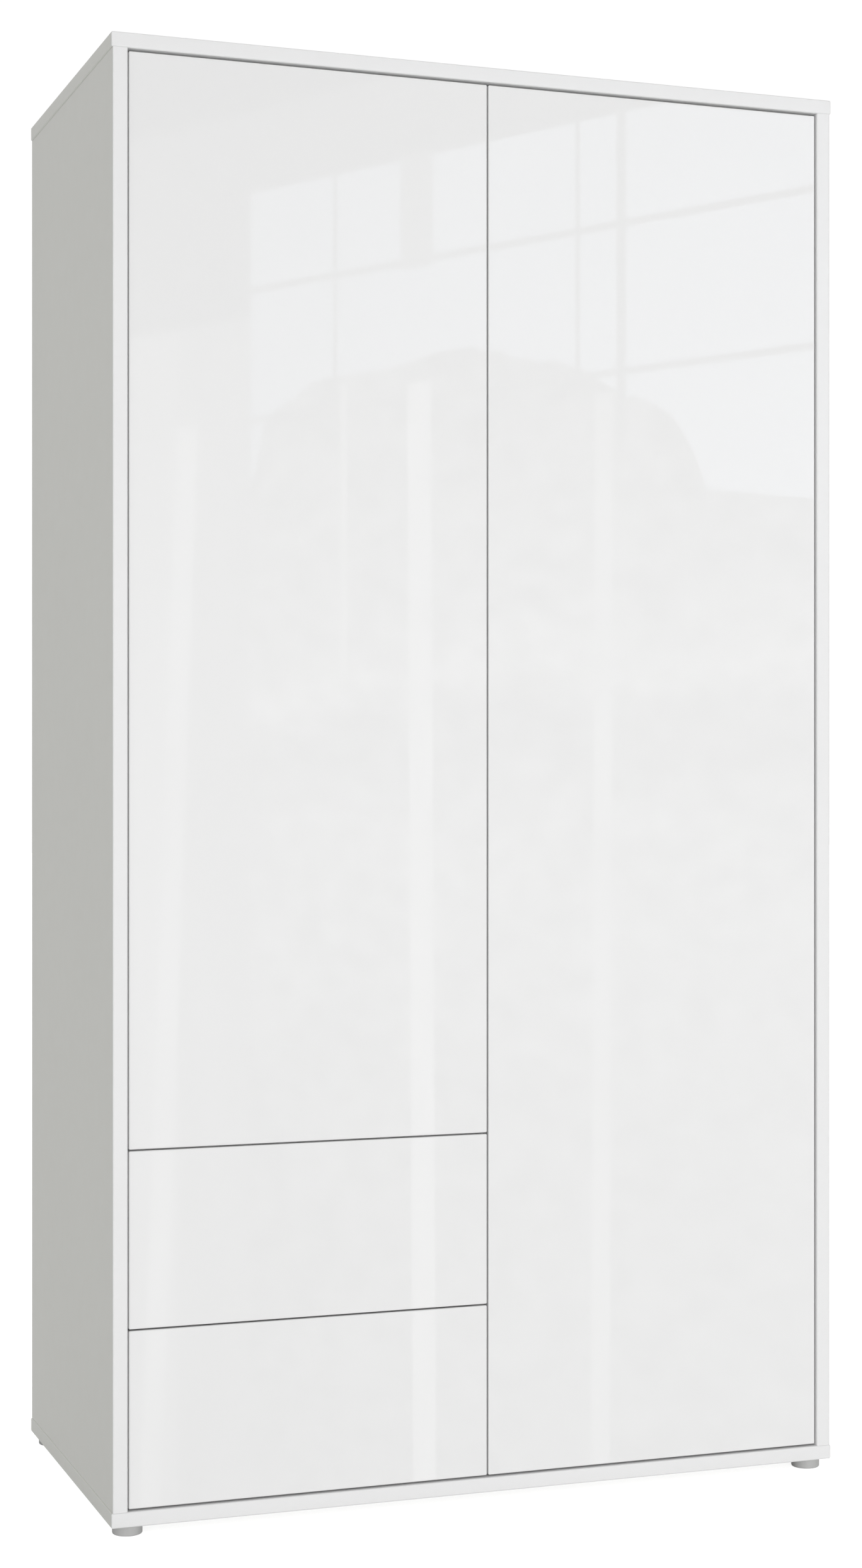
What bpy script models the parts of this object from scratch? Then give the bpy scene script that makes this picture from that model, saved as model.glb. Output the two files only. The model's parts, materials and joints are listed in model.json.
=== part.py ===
"""Two-door wardrobe: shelves over two drawers on the left, hanging space on the right.

Metres, +Z up. The fronts face -Y. The origin is on the floor under the middle of the
carcass. Every piece is its own object; moving pieces hang from an empty on their axis.
"""
import math

import bmesh
import bpy
from mathutils import Vector

# ---- Driving dimensions -------------------------------------------------------------
WIDTH = 1.0515           # over the ends of the top and bottom panels
DEPTH = 0.545
CARCASS_HEIGHT = 1.950
BOARD = 0.020            # melamine board of the carcass and shelves
FRONT_BOARD = 0.019
SIDE_INSET = 0.00175     # the top and bottom overhang the side panels by this much
EDGE_ROUNDING = 0.002    # front edges of the uprights and shelves, all edges of top and bottom
BOX_ROUNDING = 0.0008
JOINT_GAP = 0.0001       # between carcass boards that are bolted tight
CLEARANCE = 0.0003       # between other pieces that touch

FOOT_HEIGHT = 0.014
FOOT_RADIUS = 0.020
FOOT_INSET = 0.027       # foot centre in from the ends, the front and the rear
FOOT_ROUNDING = 0.002

FRONT_RECESS = 0.004     # the fronts stand behind the carcass's front edges
FRONT_ROUNDING = 0.002
GAP_AT_SIDES = 0.002
GAP_AT_TOP = 0.003
GAP_AT_BOTTOM = 0.0023
GAP_BETWEEN_FRONTS = 0.002
DRAWER_FRONT_HEIGHT = 0.2328
CARCASS_BEHIND_FRONTS = 0.004   # partition and fixed shelves behind the fronts' backs

BACK_THICKNESS = 0.003
BACK_GROOVE_DEPTH = 0.006
BACK_GROOVE_INSET = 0.010       # groove in from the rear edges
GROOVE_PLAY = 0.0003            # on each face of a panel in its groove
PANEL_IN_GROOVE = 0.0055

SHELF_SETBACK = 0.030           # adjustable shelves behind the fronts' backs
SHELF_SIDE_PLAY = 0.001
SHELF_PIN_RADIUS = 0.0025
HOLE_PITCH = 0.032              # rows of holes in the uprights, for shelf pins and hinges
SHELF_PIN_HOLES = {             # each shelf's pin hole, counted down from the highest hinge
    "lower_left_shelf": 30,
    "middle_left_shelf": 17,
    "upper_left_shelf": 7,
}

RAIL_DROP = 0.045               # rail axis under the hat shelf
RAIL_HEIGHT = 0.030
RAIL_THICKNESS = 0.015
RAIL_WALL = 0.0012
FLANGE_LENGTH = 0.012
FLANGE_POCKET = 0.009
FLANGE_RIM = 0.0035
FLANGE_ROUNDING = 0.0008
RAIL_PLAY = 0.0004

DOOR_SWING_AXIS = 0.004         # hinge axis in from the door's edge, in its front plane
CUP_RADIUS = 0.0175
CUP_EDGE = 0.004                # board left between the cup bore and the door's edge
CUP_DEPTH = 0.012
CUP_WALL = 0.001
CUP_PLATE = (0.034, 0.0015, 0.062)
CUP_PLATE_BEVEL = 0.0005
HINGE_TOP_DISTANCE = 0.100      # highest hinge under the top of a door
HINGE_WORDS = {                 # each door's hinges, from the highest down
    "left_door": ("top", "middle", "bottom"),
    "right_door": ("top", "upper_middle", "lower_middle", "bottom"),
}
HINGE_PITCHES = {"left_door": 19, "right_door": 18}   # hole pitches from hinge to hinge
PIN_RADIUS = 0.0015
PIN_PLACE = (0.007, 0.012)      # link pin from the swing axis: along the door, inwards
LINK_HEIGHT = 0.009
LINK_THICKNESS = 0.0025
LINK_EYE_RADIUS = 0.003
LINK_REACH = 0.0125             # pin to the middle of the tail, along the door
LINK_BEND = 0.00375             # bend radius along the link's middle
LINK_LENGTH = 0.039
ARM_WIDTH = 0.0136
ARM_SHEET = 0.0012
ARM_FRONT = 0.024               # arm's front end behind the fronts' front plane
ARM_REAR = 0.094
ARM_MOUTH = 0.020               # arm's open side off the side panel, at its front end
ARM_WEB = 0.0354                # arm's outer face off the side panel, over the link
ARM_LOW_WEB = 0.024             # and over the mounting plate
ARM_CRANK = (0.054, 0.066)      # where the outer face steps from one to the other
ARM_CRANK_SHIFT = 0.0005        # keeps the sheet even round the crank
ARM_RAMP = (0.036, 0.050)       # where the open side slopes down to the mounting plate
ARM_OVERRUN = 0.010             # hollow past the arm's mouth
ARM_BEVEL = 0.0004
MOUNTING_PLATE = 0.003
PLATE_OVERLAP = 0.0002          # mounting plate into the arm's walls
MOUNTING_SPINE = (0.048, 0.096, 0.0085)   # front, rear, half height
MOUNTING_WINGS = (0.062, 0.082, 0.026)

BOX_LENGTH = 0.450
BOX_HEIGHT = 0.160
BOX_BOARD = 0.012
BOX_ABOVE_FRONT_EDGE = 0.016    # box's lower edge over its front's lower edge
BOX_BOTTOM_RISE = 0.012         # underside of the bottom over the box's lower edge
RUNNER_SPACE = 0.0127           # on each side of a drawer box
RUNNER_RISE = 0.045             # runner's axis over the box's lower edge
RUNNER_SHEET = 0.0012
CABINET_RUNNER = (0.0090, 0.035, 0.440)   # depth, height, length
CABINET_RUNNER_SETBACK = 0.002            # behind the partition's front edge
DRAWER_RUNNER = (0.0085, 0.027, 0.430)
DRAWER_RUNNER_SETBACK = 0.003             # behind the fronts' backs

LATCH_HEIGHT = 1.105            # latch axis over the floor
LATCH_HOUSING = (0.014, 0.055, 0.018)
LATCH_ROUNDING = 0.0015
LATCH_SETBACK = 0.025           # housing behind the fronts' front plane
PLUNGER_RADIUS = 0.004
PLUNGER_LENGTH = 0.050
PLUNGER_PLAY = 0.0004
PLUNGER_ROUNDING = 0.001
BORE_PAST_PLUNGER = 0.002
PLUNGER_STEPS = 24

# ---- Places that follow from them ----------------------------------------------------
CARCASS_BOTTOM = FOOT_HEIGHT
CARCASS_TOP = CARCASS_BOTTOM + CARCASS_HEIGHT
INSIDE_BOTTOM = CARCASS_BOTTOM + BOARD
INSIDE_TOP = CARCASS_TOP - BOARD
SIDE_OUTER = WIDTH / 2 - SIDE_INSET
SIDE_INNER = SIDE_OUTER - BOARD
PARTITION_FACE = BOARD / 2
FRONT_EDGE = -DEPTH / 2
REAR_EDGE = DEPTH / 2
FRONTS_FACE = FRONT_EDGE + FRONT_RECESS
FRONTS_BACK = FRONTS_FACE + FRONT_BOARD
INNER_FRONT = FRONTS_BACK + CARCASS_BEHIND_FRONTS
BACK_REAR_FACE = REAR_EDGE - BACK_GROOVE_INSET
BACK_FRONT_FACE = BACK_REAR_FACE - BACK_THICKNESS

FRONT_INNER_EDGE = GAP_BETWEEN_FRONTS / 2
FRONT_OUTER_EDGE = SIDE_INNER - GAP_AT_SIDES
LOWER_FRONT_BOTTOM = INSIDE_BOTTOM + GAP_AT_BOTTOM
LOWER_FRONT_TOP = LOWER_FRONT_BOTTOM + DRAWER_FRONT_HEIGHT
UPPER_FRONT_BOTTOM = LOWER_FRONT_TOP + GAP_BETWEEN_FRONTS
UPPER_FRONT_TOP = UPPER_FRONT_BOTTOM + DRAWER_FRONT_HEIGHT
LEFT_DOOR_BOTTOM = UPPER_FRONT_TOP + GAP_BETWEEN_FRONTS
RIGHT_DOOR_BOTTOM = LOWER_FRONT_BOTTOM
DOOR_TOP = INSIDE_TOP - GAP_AT_TOP
HIGHEST_HINGE = DOOR_TOP - HINGE_TOP_DISTANCE
HIGHEST_HOLE = HIGHEST_HINGE - HOLE_PITCH / 2

DRAWER_SHELF_BOTTOM = (UPPER_FRONT_TOP + LEFT_DOOR_BOTTOM) / 2 - BOARD / 2
DRAWER_SHELF_TOP = DRAWER_SHELF_BOTTOM + BOARD
SHELF_BOTTOMS = {
    name: HIGHEST_HOLE - count * HOLE_PITCH + SHELF_PIN_RADIUS
    for name, count in SHELF_PIN_HOLES.items()
}
HAT_SHELF_BOTTOM = SHELF_BOTTOMS["upper_left_shelf"]

SWING_AXIS = FRONT_OUTER_EDGE - DOOR_SWING_AXIS
CUP_CENTRE = FRONT_OUTER_EDGE - CUP_EDGE - CUP_RADIUS
PIN_X = SWING_AXIS - PIN_PLACE[0]
PIN_Y = FRONTS_FACE + PIN_PLACE[1]
DRAWER_CENTRE = -(SIDE_INNER + PARTITION_FACE) / 2
BOX_WIDTH = SIDE_INNER - PARTITION_FACE - 2 * RUNNER_SPACE
LATCH_CENTRE = PARTITION_FACE + CLEARANCE + LATCH_HOUSING[0] / 2

ROUND_STEPS = 40
FULL_TURN = 2 * math.pi

# Finishes: colour, roughness, metallic
MELAMINE = ((0.80, 0.80, 0.79), 0.45, 0.0)
GLOSS = ((0.86, 0.86, 0.86), 0.06, 0.0)
HARDBOARD = ((0.78, 0.78, 0.77), 0.60, 0.0)
GREY_PLASTIC = ((0.42, 0.42, 0.41), 0.45, 0.0)
PALE_PLASTIC = ((0.62, 0.62, 0.62), 0.40, 0.0)
ZINC = ((0.60, 0.61, 0.62), 0.35, 1.0)
NICKEL = ((0.66, 0.65, 0.62), 0.25, 1.0)
CHROME = ((0.78, 0.78, 0.79), 0.12, 1.0)


# ---- Scene and small helpers ---------------------------------------------------------
def clear_scene():
    for old in list(bpy.data.objects):
        bpy.data.objects.remove(old, do_unlink=True)


def make_collection(name):
    collection = bpy.data.collections.new(name)
    bpy.context.scene.collection.children.link(collection)
    return collection


def finish_piece(piece, finish):
    colour, roughness, metallic = finish
    material = bpy.data.materials.new(piece.name + "_finish")
    material.use_nodes = True
    shader = material.node_tree.nodes["Principled BSDF"]
    shader.inputs["Base Color"].default_value = (*colour, 1.0)
    shader.inputs["Roughness"].default_value = roughness
    shader.inputs["Metallic"].default_value = metallic
    material.diffuse_color = (*colour, 1.0)
    piece.data.materials.clear()
    piece.data.materials.append(material)


def add_piece(name, mesh, finish, at, parent=None, turn=(0.0, 0.0, 0.0)):
    """Link a mesh as a named piece with its origin at a world place."""
    piece = bpy.data.objects.new(name, mesh)
    PARTS.objects.link(piece)
    piece.rotation_euler = turn
    piece.location = Vector(at)
    if parent:
        piece.parent = parent
        piece.location -= parent.location
    finish_piece(piece, finish)
    return piece


def add_axis(name, at):
    """An empty on a joint's axis, to hang a moving body's pieces from."""
    axis = bpy.data.objects.new(name, None)
    axis.empty_display_size = 0.05
    axis.location = at
    PARTS.objects.link(axis)
    return axis


def box_mesh(name, size):
    mesh = bpy.data.meshes.new(name)
    shape = bmesh.new()
    bmesh.ops.create_cube(shape, size=1.0)
    bmesh.ops.scale(shape, vec=size, verts=shape.verts)
    shape.to_mesh(mesh)
    shape.free()
    return mesh


def cylinder_mesh(name, radius, length, steps=ROUND_STEPS):
    mesh = bpy.data.meshes.new(name)
    shape = bmesh.new()
    bmesh.ops.create_cone(
        shape, cap_ends=True, segments=steps, radius1=radius, radius2=radius, depth=length
    )
    shape.to_mesh(mesh)
    shape.free()
    return mesh


def arc(centre, radius, start, end, steps):
    """Points on a round stretch of an outline; angles in degrees."""
    points = []
    for step in range(steps + 1):
        angle = math.radians(start + (end - start) * step / steps)
        points.append((centre[0] + radius * math.cos(angle), centre[1] + radius * math.sin(angle)))
    return points


def outline_mesh(name, outlines, thickness):
    """A flat sheet with the given closed outlines (holes after the outside), centred on Z."""
    curve = bpy.data.curves.new(name + "_outline", "CURVE")
    curve.dimensions = "2D"
    curve.fill_mode = "BOTH"
    curve.extrude = thickness / 2
    for points in outlines:
        spline = curve.splines.new("POLY")
        spline.points.add(len(points) - 1)
        for point, place in zip(spline.points, points):
            point.co = (place[0], place[1], 0.0, 1.0)
        spline.use_cyclic_u = True
    holder = bpy.data.objects.new(name + "_outline", curve)
    CUTTERS.objects.link(holder)
    bpy.context.view_layer.update()
    evaluated = holder.evaluated_get(bpy.context.evaluated_depsgraph_get())
    mesh = bpy.data.meshes.new_from_object(evaluated)
    mesh.name = name
    bpy.data.objects.remove(holder, do_unlink=True)
    shape = bmesh.new()
    shape.from_mesh(mesh)
    bmesh.ops.remove_doubles(shape, verts=shape.verts, dist=0.00001)
    bmesh.ops.recalc_face_normals(shape, faces=shape.faces)
    shape.to_mesh(mesh)
    shape.free()
    return mesh


def round_edges(piece, width, segments=2):
    bevel = piece.modifiers.new("rounded_edges", "BEVEL")
    bevel.width = width
    bevel.segments = segments
    bevel.limit_method = "ANGLE"
    bevel.angle_limit = math.radians(40)


def round_front_edges(piece, width, segments):
    """Round the long arrises of a board's front edge and leave its cut ends square."""
    weights = piece.data.attributes.new("bevel_weight_edge", "FLOAT", "EDGE")
    for edge in piece.data.edges:
        start, end = (piece.data.vertices[index].co for index in edge.vertices)
        in_front = start.y < 0.0 and end.y < 0.0
        if in_front and (end - start).length > 2 * BOARD:
            weights.data[edge.index].value = 1.0
    bevel = piece.modifiers.new("rounded_front_edges", "BEVEL")
    bevel.width = width
    bevel.segments = segments
    bevel.limit_method = "WEIGHT"


def add_cutter(name, mesh, at, parent=None, turn=(0.0, 0.0, 0.0)):
    cutter = bpy.data.objects.new(name, mesh)
    CUTTERS.objects.link(cutter)
    cutter.rotation_euler = turn
    cutter.location = Vector(at)
    if parent:
        cutter.parent = parent
        cutter.location -= parent.location
    cutter.hide_render = True
    cutter.display_type = "WIRE"
    return cutter


def combine(piece, tool, operation):
    change = piece.modifiers.new(operation.lower() + "_" + tool.name, "BOOLEAN")
    change.operation = operation
    change.solver = "EXACT"
    change.object = tool


def middle_and_size(low, high):
    middle = (Vector(low) + Vector(high)) / 2
    size = Vector(high) - Vector(low)
    return middle, size


def add_block(name, low, high, finish, rounding, parent=None, segments=2):
    middle, size = middle_and_size(low, high)
    block = add_piece(name, box_mesh(name, size), finish, middle, parent)
    round_edges(block, rounding, segments)
    return block


def add_inner_board(name, low, high):
    middle, size = middle_and_size(low, high)
    board = add_piece(name, box_mesh(name, size), MELAMINE, middle)
    round_front_edges(board, EDGE_ROUNDING, 3)
    return board


def cut_box(piece, name, low, high, parent=None):
    middle, size = middle_and_size(low, high)
    combine(piece, add_cutter(name, box_mesh(name, size), middle, parent), "DIFFERENCE")


def evaluated_copy(piece, name):
    """The finished shape of a piece, for its identical copies to share."""
    bpy.context.view_layer.update()
    finished = piece.evaluated_get(bpy.context.evaluated_depsgraph_get())
    mesh = bpy.data.meshes.new_from_object(finished)
    mesh.name = name
    return mesh


def shade_round(mesh):
    mesh.shade_smooth()
    mesh.set_sharp_from_angle(angle=math.radians(35))


# ---- Carcass -------------------------------------------------------------------------
def back_groove(board, name, low_x, high_x, low_z, high_z):
    low = (low_x, BACK_FRONT_FACE - GROOVE_PLAY, low_z)
    high = (high_x, BACK_REAR_FACE + GROOVE_PLAY, high_z)
    cut_box(board, name, low, high)


def build_top_and_bottom():
    groove_end = SIDE_INNER + BACK_GROOVE_DEPTH
    for name, low_z in (("bottom_panel", CARCASS_BOTTOM), ("top_panel", INSIDE_TOP)):
        low = (-WIDTH / 2, FRONT_EDGE, low_z)
        high = (WIDTH / 2, REAR_EDGE, low_z + BOARD)
        board = add_block(name, low, high, MELAMINE, EDGE_ROUNDING, segments=3)
        inner_face = INSIDE_BOTTOM if name == "bottom_panel" else INSIDE_TOP
        low_cut = inner_face - BACK_GROOVE_DEPTH
        high_cut = inner_face + BACK_GROOVE_DEPTH
        back_groove(board, name + "_groove", -groove_end, groove_end, low_cut, high_cut)


def build_sides_and_partition():
    low_z = INSIDE_BOTTOM + JOINT_GAP
    high_z = INSIDE_TOP - JOINT_GAP
    for name, side in (("left_side_panel", -1), ("right_side_panel", 1)):
        low_x = min(side * SIDE_INNER, side * SIDE_OUTER)
        low = (low_x, FRONT_EDGE, low_z)
        high = (low_x + BOARD, REAR_EDGE, high_z)
        board = add_inner_board(name, low, high)
        groove_middle = side * SIDE_INNER
        low_cut = groove_middle - BACK_GROOVE_DEPTH
        high_cut = groove_middle + BACK_GROOVE_DEPTH
        back_groove(board, name + "_groove", low_cut, high_cut, CARCASS_BOTTOM, CARCASS_TOP)
    low = (-PARTITION_FACE, INNER_FRONT, low_z)
    high = (PARTITION_FACE, REAR_EDGE, high_z)
    partition = add_inner_board("centre_partition", low, high)
    for name, side in (("partition_left_groove", -1), ("partition_right_groove", 1)):
        low_cut = side * PARTITION_FACE - BACK_GROOVE_DEPTH
        high_cut = side * PARTITION_FACE + BACK_GROOVE_DEPTH
        back_groove(partition, name, low_cut, high_cut, CARCASS_BOTTOM, CARCASS_TOP)


def build_back_panels():
    inner_x = PARTITION_FACE - PANEL_IN_GROOVE
    outer_x = SIDE_INNER + PANEL_IN_GROOVE
    low_z = INSIDE_BOTTOM - PANEL_IN_GROOVE
    high_z = INSIDE_TOP + PANEL_IN_GROOVE
    for name, side in (("left_back_panel", -1), ("right_back_panel", 1)):
        low = (min(side * inner_x, side * outer_x), BACK_FRONT_FACE, low_z)
        high = (max(side * inner_x, side * outer_x), BACK_REAR_FACE, high_z)
        middle, size = middle_and_size(low, high)
        add_piece(name, box_mesh(name, size), HARDBOARD, middle)


def build_shelves():
    rear = BACK_FRONT_FACE - CLEARANCE
    outer = SIDE_INNER - JOINT_GAP
    inner = PARTITION_FACE + JOINT_GAP
    low = (-outer, INNER_FRONT, DRAWER_SHELF_BOTTOM)
    high = (-inner, rear, DRAWER_SHELF_TOP)
    add_inner_board("drawer_compartment_shelf", low, high)
    low = (inner, INNER_FRONT, HAT_SHELF_BOTTOM)
    high = (outer, rear, HAT_SHELF_BOTTOM + BOARD)
    add_inner_board("hat_shelf", low, high)
    loose_outer = SIDE_INNER - SHELF_SIDE_PLAY
    loose_inner = PARTITION_FACE + SHELF_SIDE_PLAY
    for name, low_z in SHELF_BOTTOMS.items():
        low = (-loose_outer, FRONTS_BACK + SHELF_SETBACK, low_z)
        high = (-loose_inner, rear - SHELF_SIDE_PLAY, low_z + BOARD)
        add_inner_board(name, low, high)


def foot_mesh():
    """A turned disc with a rounded lower edge."""
    top = FOOT_HEIGHT - CLEARANCE
    corner = (FOOT_RADIUS - FOOT_ROUNDING, FOOT_ROUNDING)
    profile = [(0.0, top), (FOOT_RADIUS, top)]
    profile += arc(corner, FOOT_ROUNDING, 0, -90, 4)
    profile += [(0.0, 0.0)]
    mesh = bpy.data.meshes.new("foot")
    edges = [(index, index + 1) for index in range(len(profile) - 1)]
    mesh.from_pydata([(radius, 0.0, height) for radius, height in profile], edges, [])
    return mesh


def turn_profile(piece, steps=ROUND_STEPS):
    screw = piece.modifiers.new("turned", "SCREW")
    screw.axis = "Z"
    screw.angle = FULL_TURN
    screw.steps = steps
    screw.render_steps = steps
    screw.use_merge_vertices = True
    screw.merge_threshold = 0.00001
    screw.use_smooth_shade = True


def build_feet():
    mesh = foot_mesh()
    foot_x = WIDTH / 2 - FOOT_INSET
    foot_y = DEPTH / 2 - FOOT_INSET
    for row, y in (("front", -foot_y), ("rear", foot_y)):
        for end, x in (("left", -foot_x), ("right", foot_x)):
            foot = add_piece(f"{row}_{end}_foot", mesh.copy(), GREY_PLASTIC, (x, y, 0.0))
            turn_profile(foot)


# ---- Clothes rail --------------------------------------------------------------------
def rail_outline(height, thickness):
    """An upright oval: two half rounds joined by straight sides."""
    radius = thickness / 2
    straight = height / 2 - radius
    return arc((0.0, straight), radius, 0, 180, 12) + arc((0.0, -straight), radius, 180, 360, 12)


def build_clothes_rail():
    axis_z = HAT_SHELF_BOTTOM - RAIL_DROP
    axis_y = (INNER_FRONT + BACK_FRONT_FACE) / 2
    along_x = (math.pi / 2, 0.0, math.pi / 2)
    pocket_floor = FLANGE_LENGTH - FLANGE_POCKET + CLEARANCE
    low_x = PARTITION_FACE + CLEARANCE + pocket_floor
    high_x = SIDE_INNER - CLEARANCE - pocket_floor
    outside = rail_outline(RAIL_HEIGHT, RAIL_THICKNESS)
    inside = rail_outline(RAIL_HEIGHT - 2 * RAIL_WALL, RAIL_THICKNESS - 2 * RAIL_WALL)
    tube = outline_mesh("clothes_rail", [outside, inside], high_x - low_x)
    shade_round(tube)
    rail_middle = ((low_x + high_x) / 2, axis_y, axis_z)
    add_piece("clothes_rail", tube, CHROME, rail_middle, turn=along_x)

    rim = rail_outline(RAIL_HEIGHT + 2 * FLANGE_RIM, RAIL_THICKNESS + 2 * FLANGE_RIM)
    pocket = rail_outline(RAIL_HEIGHT + 2 * RAIL_PLAY, RAIL_THICKNESS + 2 * RAIL_PLAY)
    for name, face, inwards in (
        ("partition_rail_flange", PARTITION_FACE + CLEARANCE, 1),
        ("side_rail_flange", SIDE_INNER - CLEARANCE, -1),
    ):
        body = outline_mesh(name, [rim], FLANGE_LENGTH)
        place = (face + inwards * FLANGE_LENGTH / 2, axis_y, axis_z)
        flange = add_piece(name, body, CHROME, place, turn=along_x)
        round_edges(flange, FLANGE_ROUNDING)
        cutter_mesh = outline_mesh(name + "_pocket", [pocket], 2 * FLANGE_POCKET)
        mouth = (face + inwards * FLANGE_LENGTH, axis_y, axis_z)
        combine(flange, add_cutter(name + "_pocket", cutter_mesh, mouth, turn=along_x), "DIFFERENCE")


# ---- Fronts --------------------------------------------------------------------------
def build_door(name, side, bottom):
    """A door, its hinge cups and links. side is -1 for the left door and 1 for the right."""
    axis = add_axis(name + "_axis", (side * SWING_AXIS, FRONTS_FACE, bottom))
    low_x = min(side * FRONT_INNER_EDGE, side * FRONT_OUTER_EDGE)
    high_x = max(side * FRONT_INNER_EDGE, side * FRONT_OUTER_EDGE)
    low = (low_x, FRONTS_FACE, bottom)
    high = (high_x, FRONTS_BACK, DOOR_TOP)
    door = add_block(name, low, high, GLOSS, FRONT_ROUNDING, axis, segments=4)
    along_y = (math.pi / 2, 0.0, 0.0)
    bore = cylinder_mesh(name + "_cup_bore", CUP_RADIUS, 2 * CUP_DEPTH)
    turn = (0.0, 0.0 if side < 0 else math.pi, 0.0)
    link_axis = add_axis(name + "_link_axis", (side * PIN_X, PIN_Y, bottom))
    for index, word in enumerate(HINGE_WORDS[name]):
        height = HIGHEST_HINGE - index * HINGE_PITCHES[name] * HOLE_PITCH
        cup_place = (side * CUP_CENTRE, FRONTS_BACK, height)
        cutter = add_cutter(f"{name}_{word}_cup_bore", bore, cup_place, axis, along_y)
        combine(door, cutter, "DIFFERENCE")
        hinge = f"{name}_{word}_hinge"
        add_piece(hinge + "_cup", HINGE_MESHES["cup"], NICKEL, cup_place, axis, turn)
        pin_place = (side * PIN_X, PIN_Y, height)
        add_piece(hinge + "_link", HINGE_MESHES["link"], ZINC, pin_place, link_axis, turn)
        arm_place = (side * SIDE_INNER, FRONTS_FACE, height)
        add_piece(hinge + "_arm", HINGE_MESHES["arm"], NICKEL, arm_place, turn=turn)


# ---- Hinge pieces, drawn for a hinge on the left (door material towards +X) -----------
def build_cup():
    """Open cup with a fixing plate and the link's pin; origin on the door's back face."""
    plate_size = Vector(CUP_PLATE)
    plate = box_mesh("hinge_plate", plate_size)
    cup = add_piece("hinge_cup_pattern", plate, NICKEL, (0.0, 0.0, 0.0))
    bmesh_move(plate, (0.0, CLEARANCE + plate_size.y / 2, 0.0))
    corners = cup.modifiers.new("plate_corners", "BEVEL")
    corners.width = CUP_PLATE_BEVEL
    corners.segments = 1
    along_y = (math.pi / 2, 0.0, 0.0)
    outer_length = CUP_DEPTH + plate_size.y
    outer = cylinder_mesh("cup_outside", CUP_RADIUS - CLEARANCE, outer_length)
    outer_middle = (0.0, CLEARANCE - CUP_DEPTH + outer_length / 2, 0.0)
    combine(cup, add_cutter("cup_outside", outer, outer_middle, turn=along_y), "UNION")
    inner_radius = CUP_RADIUS - CLEARANCE - CUP_WALL
    inner = cylinder_mesh("cup_inside", inner_radius, 2 * CUP_DEPTH)
    inner_middle = (0.0, CLEARANCE + CUP_WALL, 0.0)
    combine(cup, add_cutter("cup_inside", inner, inner_middle, turn=along_y), "DIFFERENCE")
    pin_x = SWING_AXIS - PIN_PLACE[0] - CUP_CENTRE
    pin_y = PIN_Y - FRONTS_BACK
    outer_radius = CUP_RADIUS - CLEARANCE
    chord = math.sqrt(outer_radius ** 2 - (pin_x + PIN_RADIUS) ** 2)
    pin = cylinder_mesh("link_pin", PIN_RADIUS, 2 * (chord - CLEARANCE), 16)
    combine(cup, add_cutter("link_pin", pin, (-pin_x, pin_y, 0.0)), "UNION")
    return take_pattern(cup, "hinge_cup")


def build_link():
    """Hooked link that reaches out over the cup's rim; origin on its pin."""
    half = LINK_THICKNESS / 2
    bend_centre = (LINK_REACH - LINK_BEND, LINK_BEND)
    meet = math.degrees(math.asin(half / LINK_EYE_RADIUS))
    outside = arc((0.0, 0.0), LINK_EYE_RADIUS, meet, 360 - meet, 16)
    outside += arc(bend_centre, LINK_BEND + half, -90, 0, 6)
    outside += arc((LINK_REACH, LINK_LENGTH), half, 0, 180, 6)
    outside += arc(bend_centre, LINK_BEND - half, 0, -90, 6)
    hole = arc((0.0, 0.0), PIN_RADIUS + CLEARANCE, 0, 345, 23)
    mesh = outline_mesh("hinge_link", [outside, hole], LINK_HEIGHT)
    shade_round(mesh)
    return mesh


def build_arm():
    """Cranked channel on a mounting plate; origin on the side panel's face, fronts' plane."""
    outside = [
        (ARM_MOUTH, ARM_FRONT),
        (ARM_WEB, ARM_FRONT),
        (ARM_WEB, ARM_CRANK[0]),
        (ARM_LOW_WEB, ARM_CRANK[1]),
        (ARM_LOW_WEB, ARM_REAR),
        (MOUNTING_PLATE, ARM_REAR),
        (MOUNTING_PLATE, ARM_RAMP[1]),
        (ARM_MOUTH, ARM_RAMP[0]),
    ]
    web = ARM_WEB - ARM_SHEET
    low_web = ARM_LOW_WEB - ARM_SHEET
    hollow_rear = ARM_REAR - ARM_SHEET
    hollow_front = ARM_FRONT - ARM_OVERRUN
    inside = [
        (ARM_MOUTH - ARM_OVERRUN, hollow_front),
        (web, hollow_front),
        (web, ARM_CRANK[0] - ARM_CRANK_SHIFT),
        (low_web, ARM_CRANK[1] - ARM_CRANK_SHIFT),
        (low_web, hollow_rear),
        (MOUNTING_PLATE, hollow_rear),
        (MOUNTING_PLATE, ARM_RAMP[1] - ARM_OVERRUN),
    ]
    wall_mesh = outline_mesh("arm_channel", [outside], ARM_WIDTH)
    arm = add_piece("hinge_arm_pattern", wall_mesh, NICKEL, (0.0, 0.0, 0.0))
    round_edges(arm, ARM_BEVEL, 1)
    hollow = outline_mesh("arm_hollow", [inside], ARM_WIDTH - 2 * ARM_SHEET)
    combine(arm, add_cutter("arm_hollow", hollow, (0.0, 0.0, 0.0)), "DIFFERENCE")
    for name, (front, rear, half_height) in (
        ("mounting_spine", MOUNTING_SPINE),
        ("mounting_wings", MOUNTING_WINGS),
    ):
        low = (CLEARANCE, front, -half_height)
        high = (MOUNTING_PLATE + PLATE_OVERLAP, rear, half_height)
        middle, size = middle_and_size(low, high)
        combine(arm, add_cutter(name, box_mesh(name, size), middle), "UNION")
    return take_pattern(arm, "hinge_arm")


def bmesh_move(mesh, offset):
    shape = bmesh.new()
    shape.from_mesh(mesh)
    bmesh.ops.translate(shape, vec=offset, verts=shape.verts)
    shape.to_mesh(mesh)
    shape.free()


def take_pattern(piece, name):
    """Keep a pattern piece's finished mesh and remove the pattern itself."""
    mesh = evaluated_copy(piece, name)
    shade_round(mesh)
    bpy.data.objects.remove(piece, do_unlink=True)
    return mesh


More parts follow.
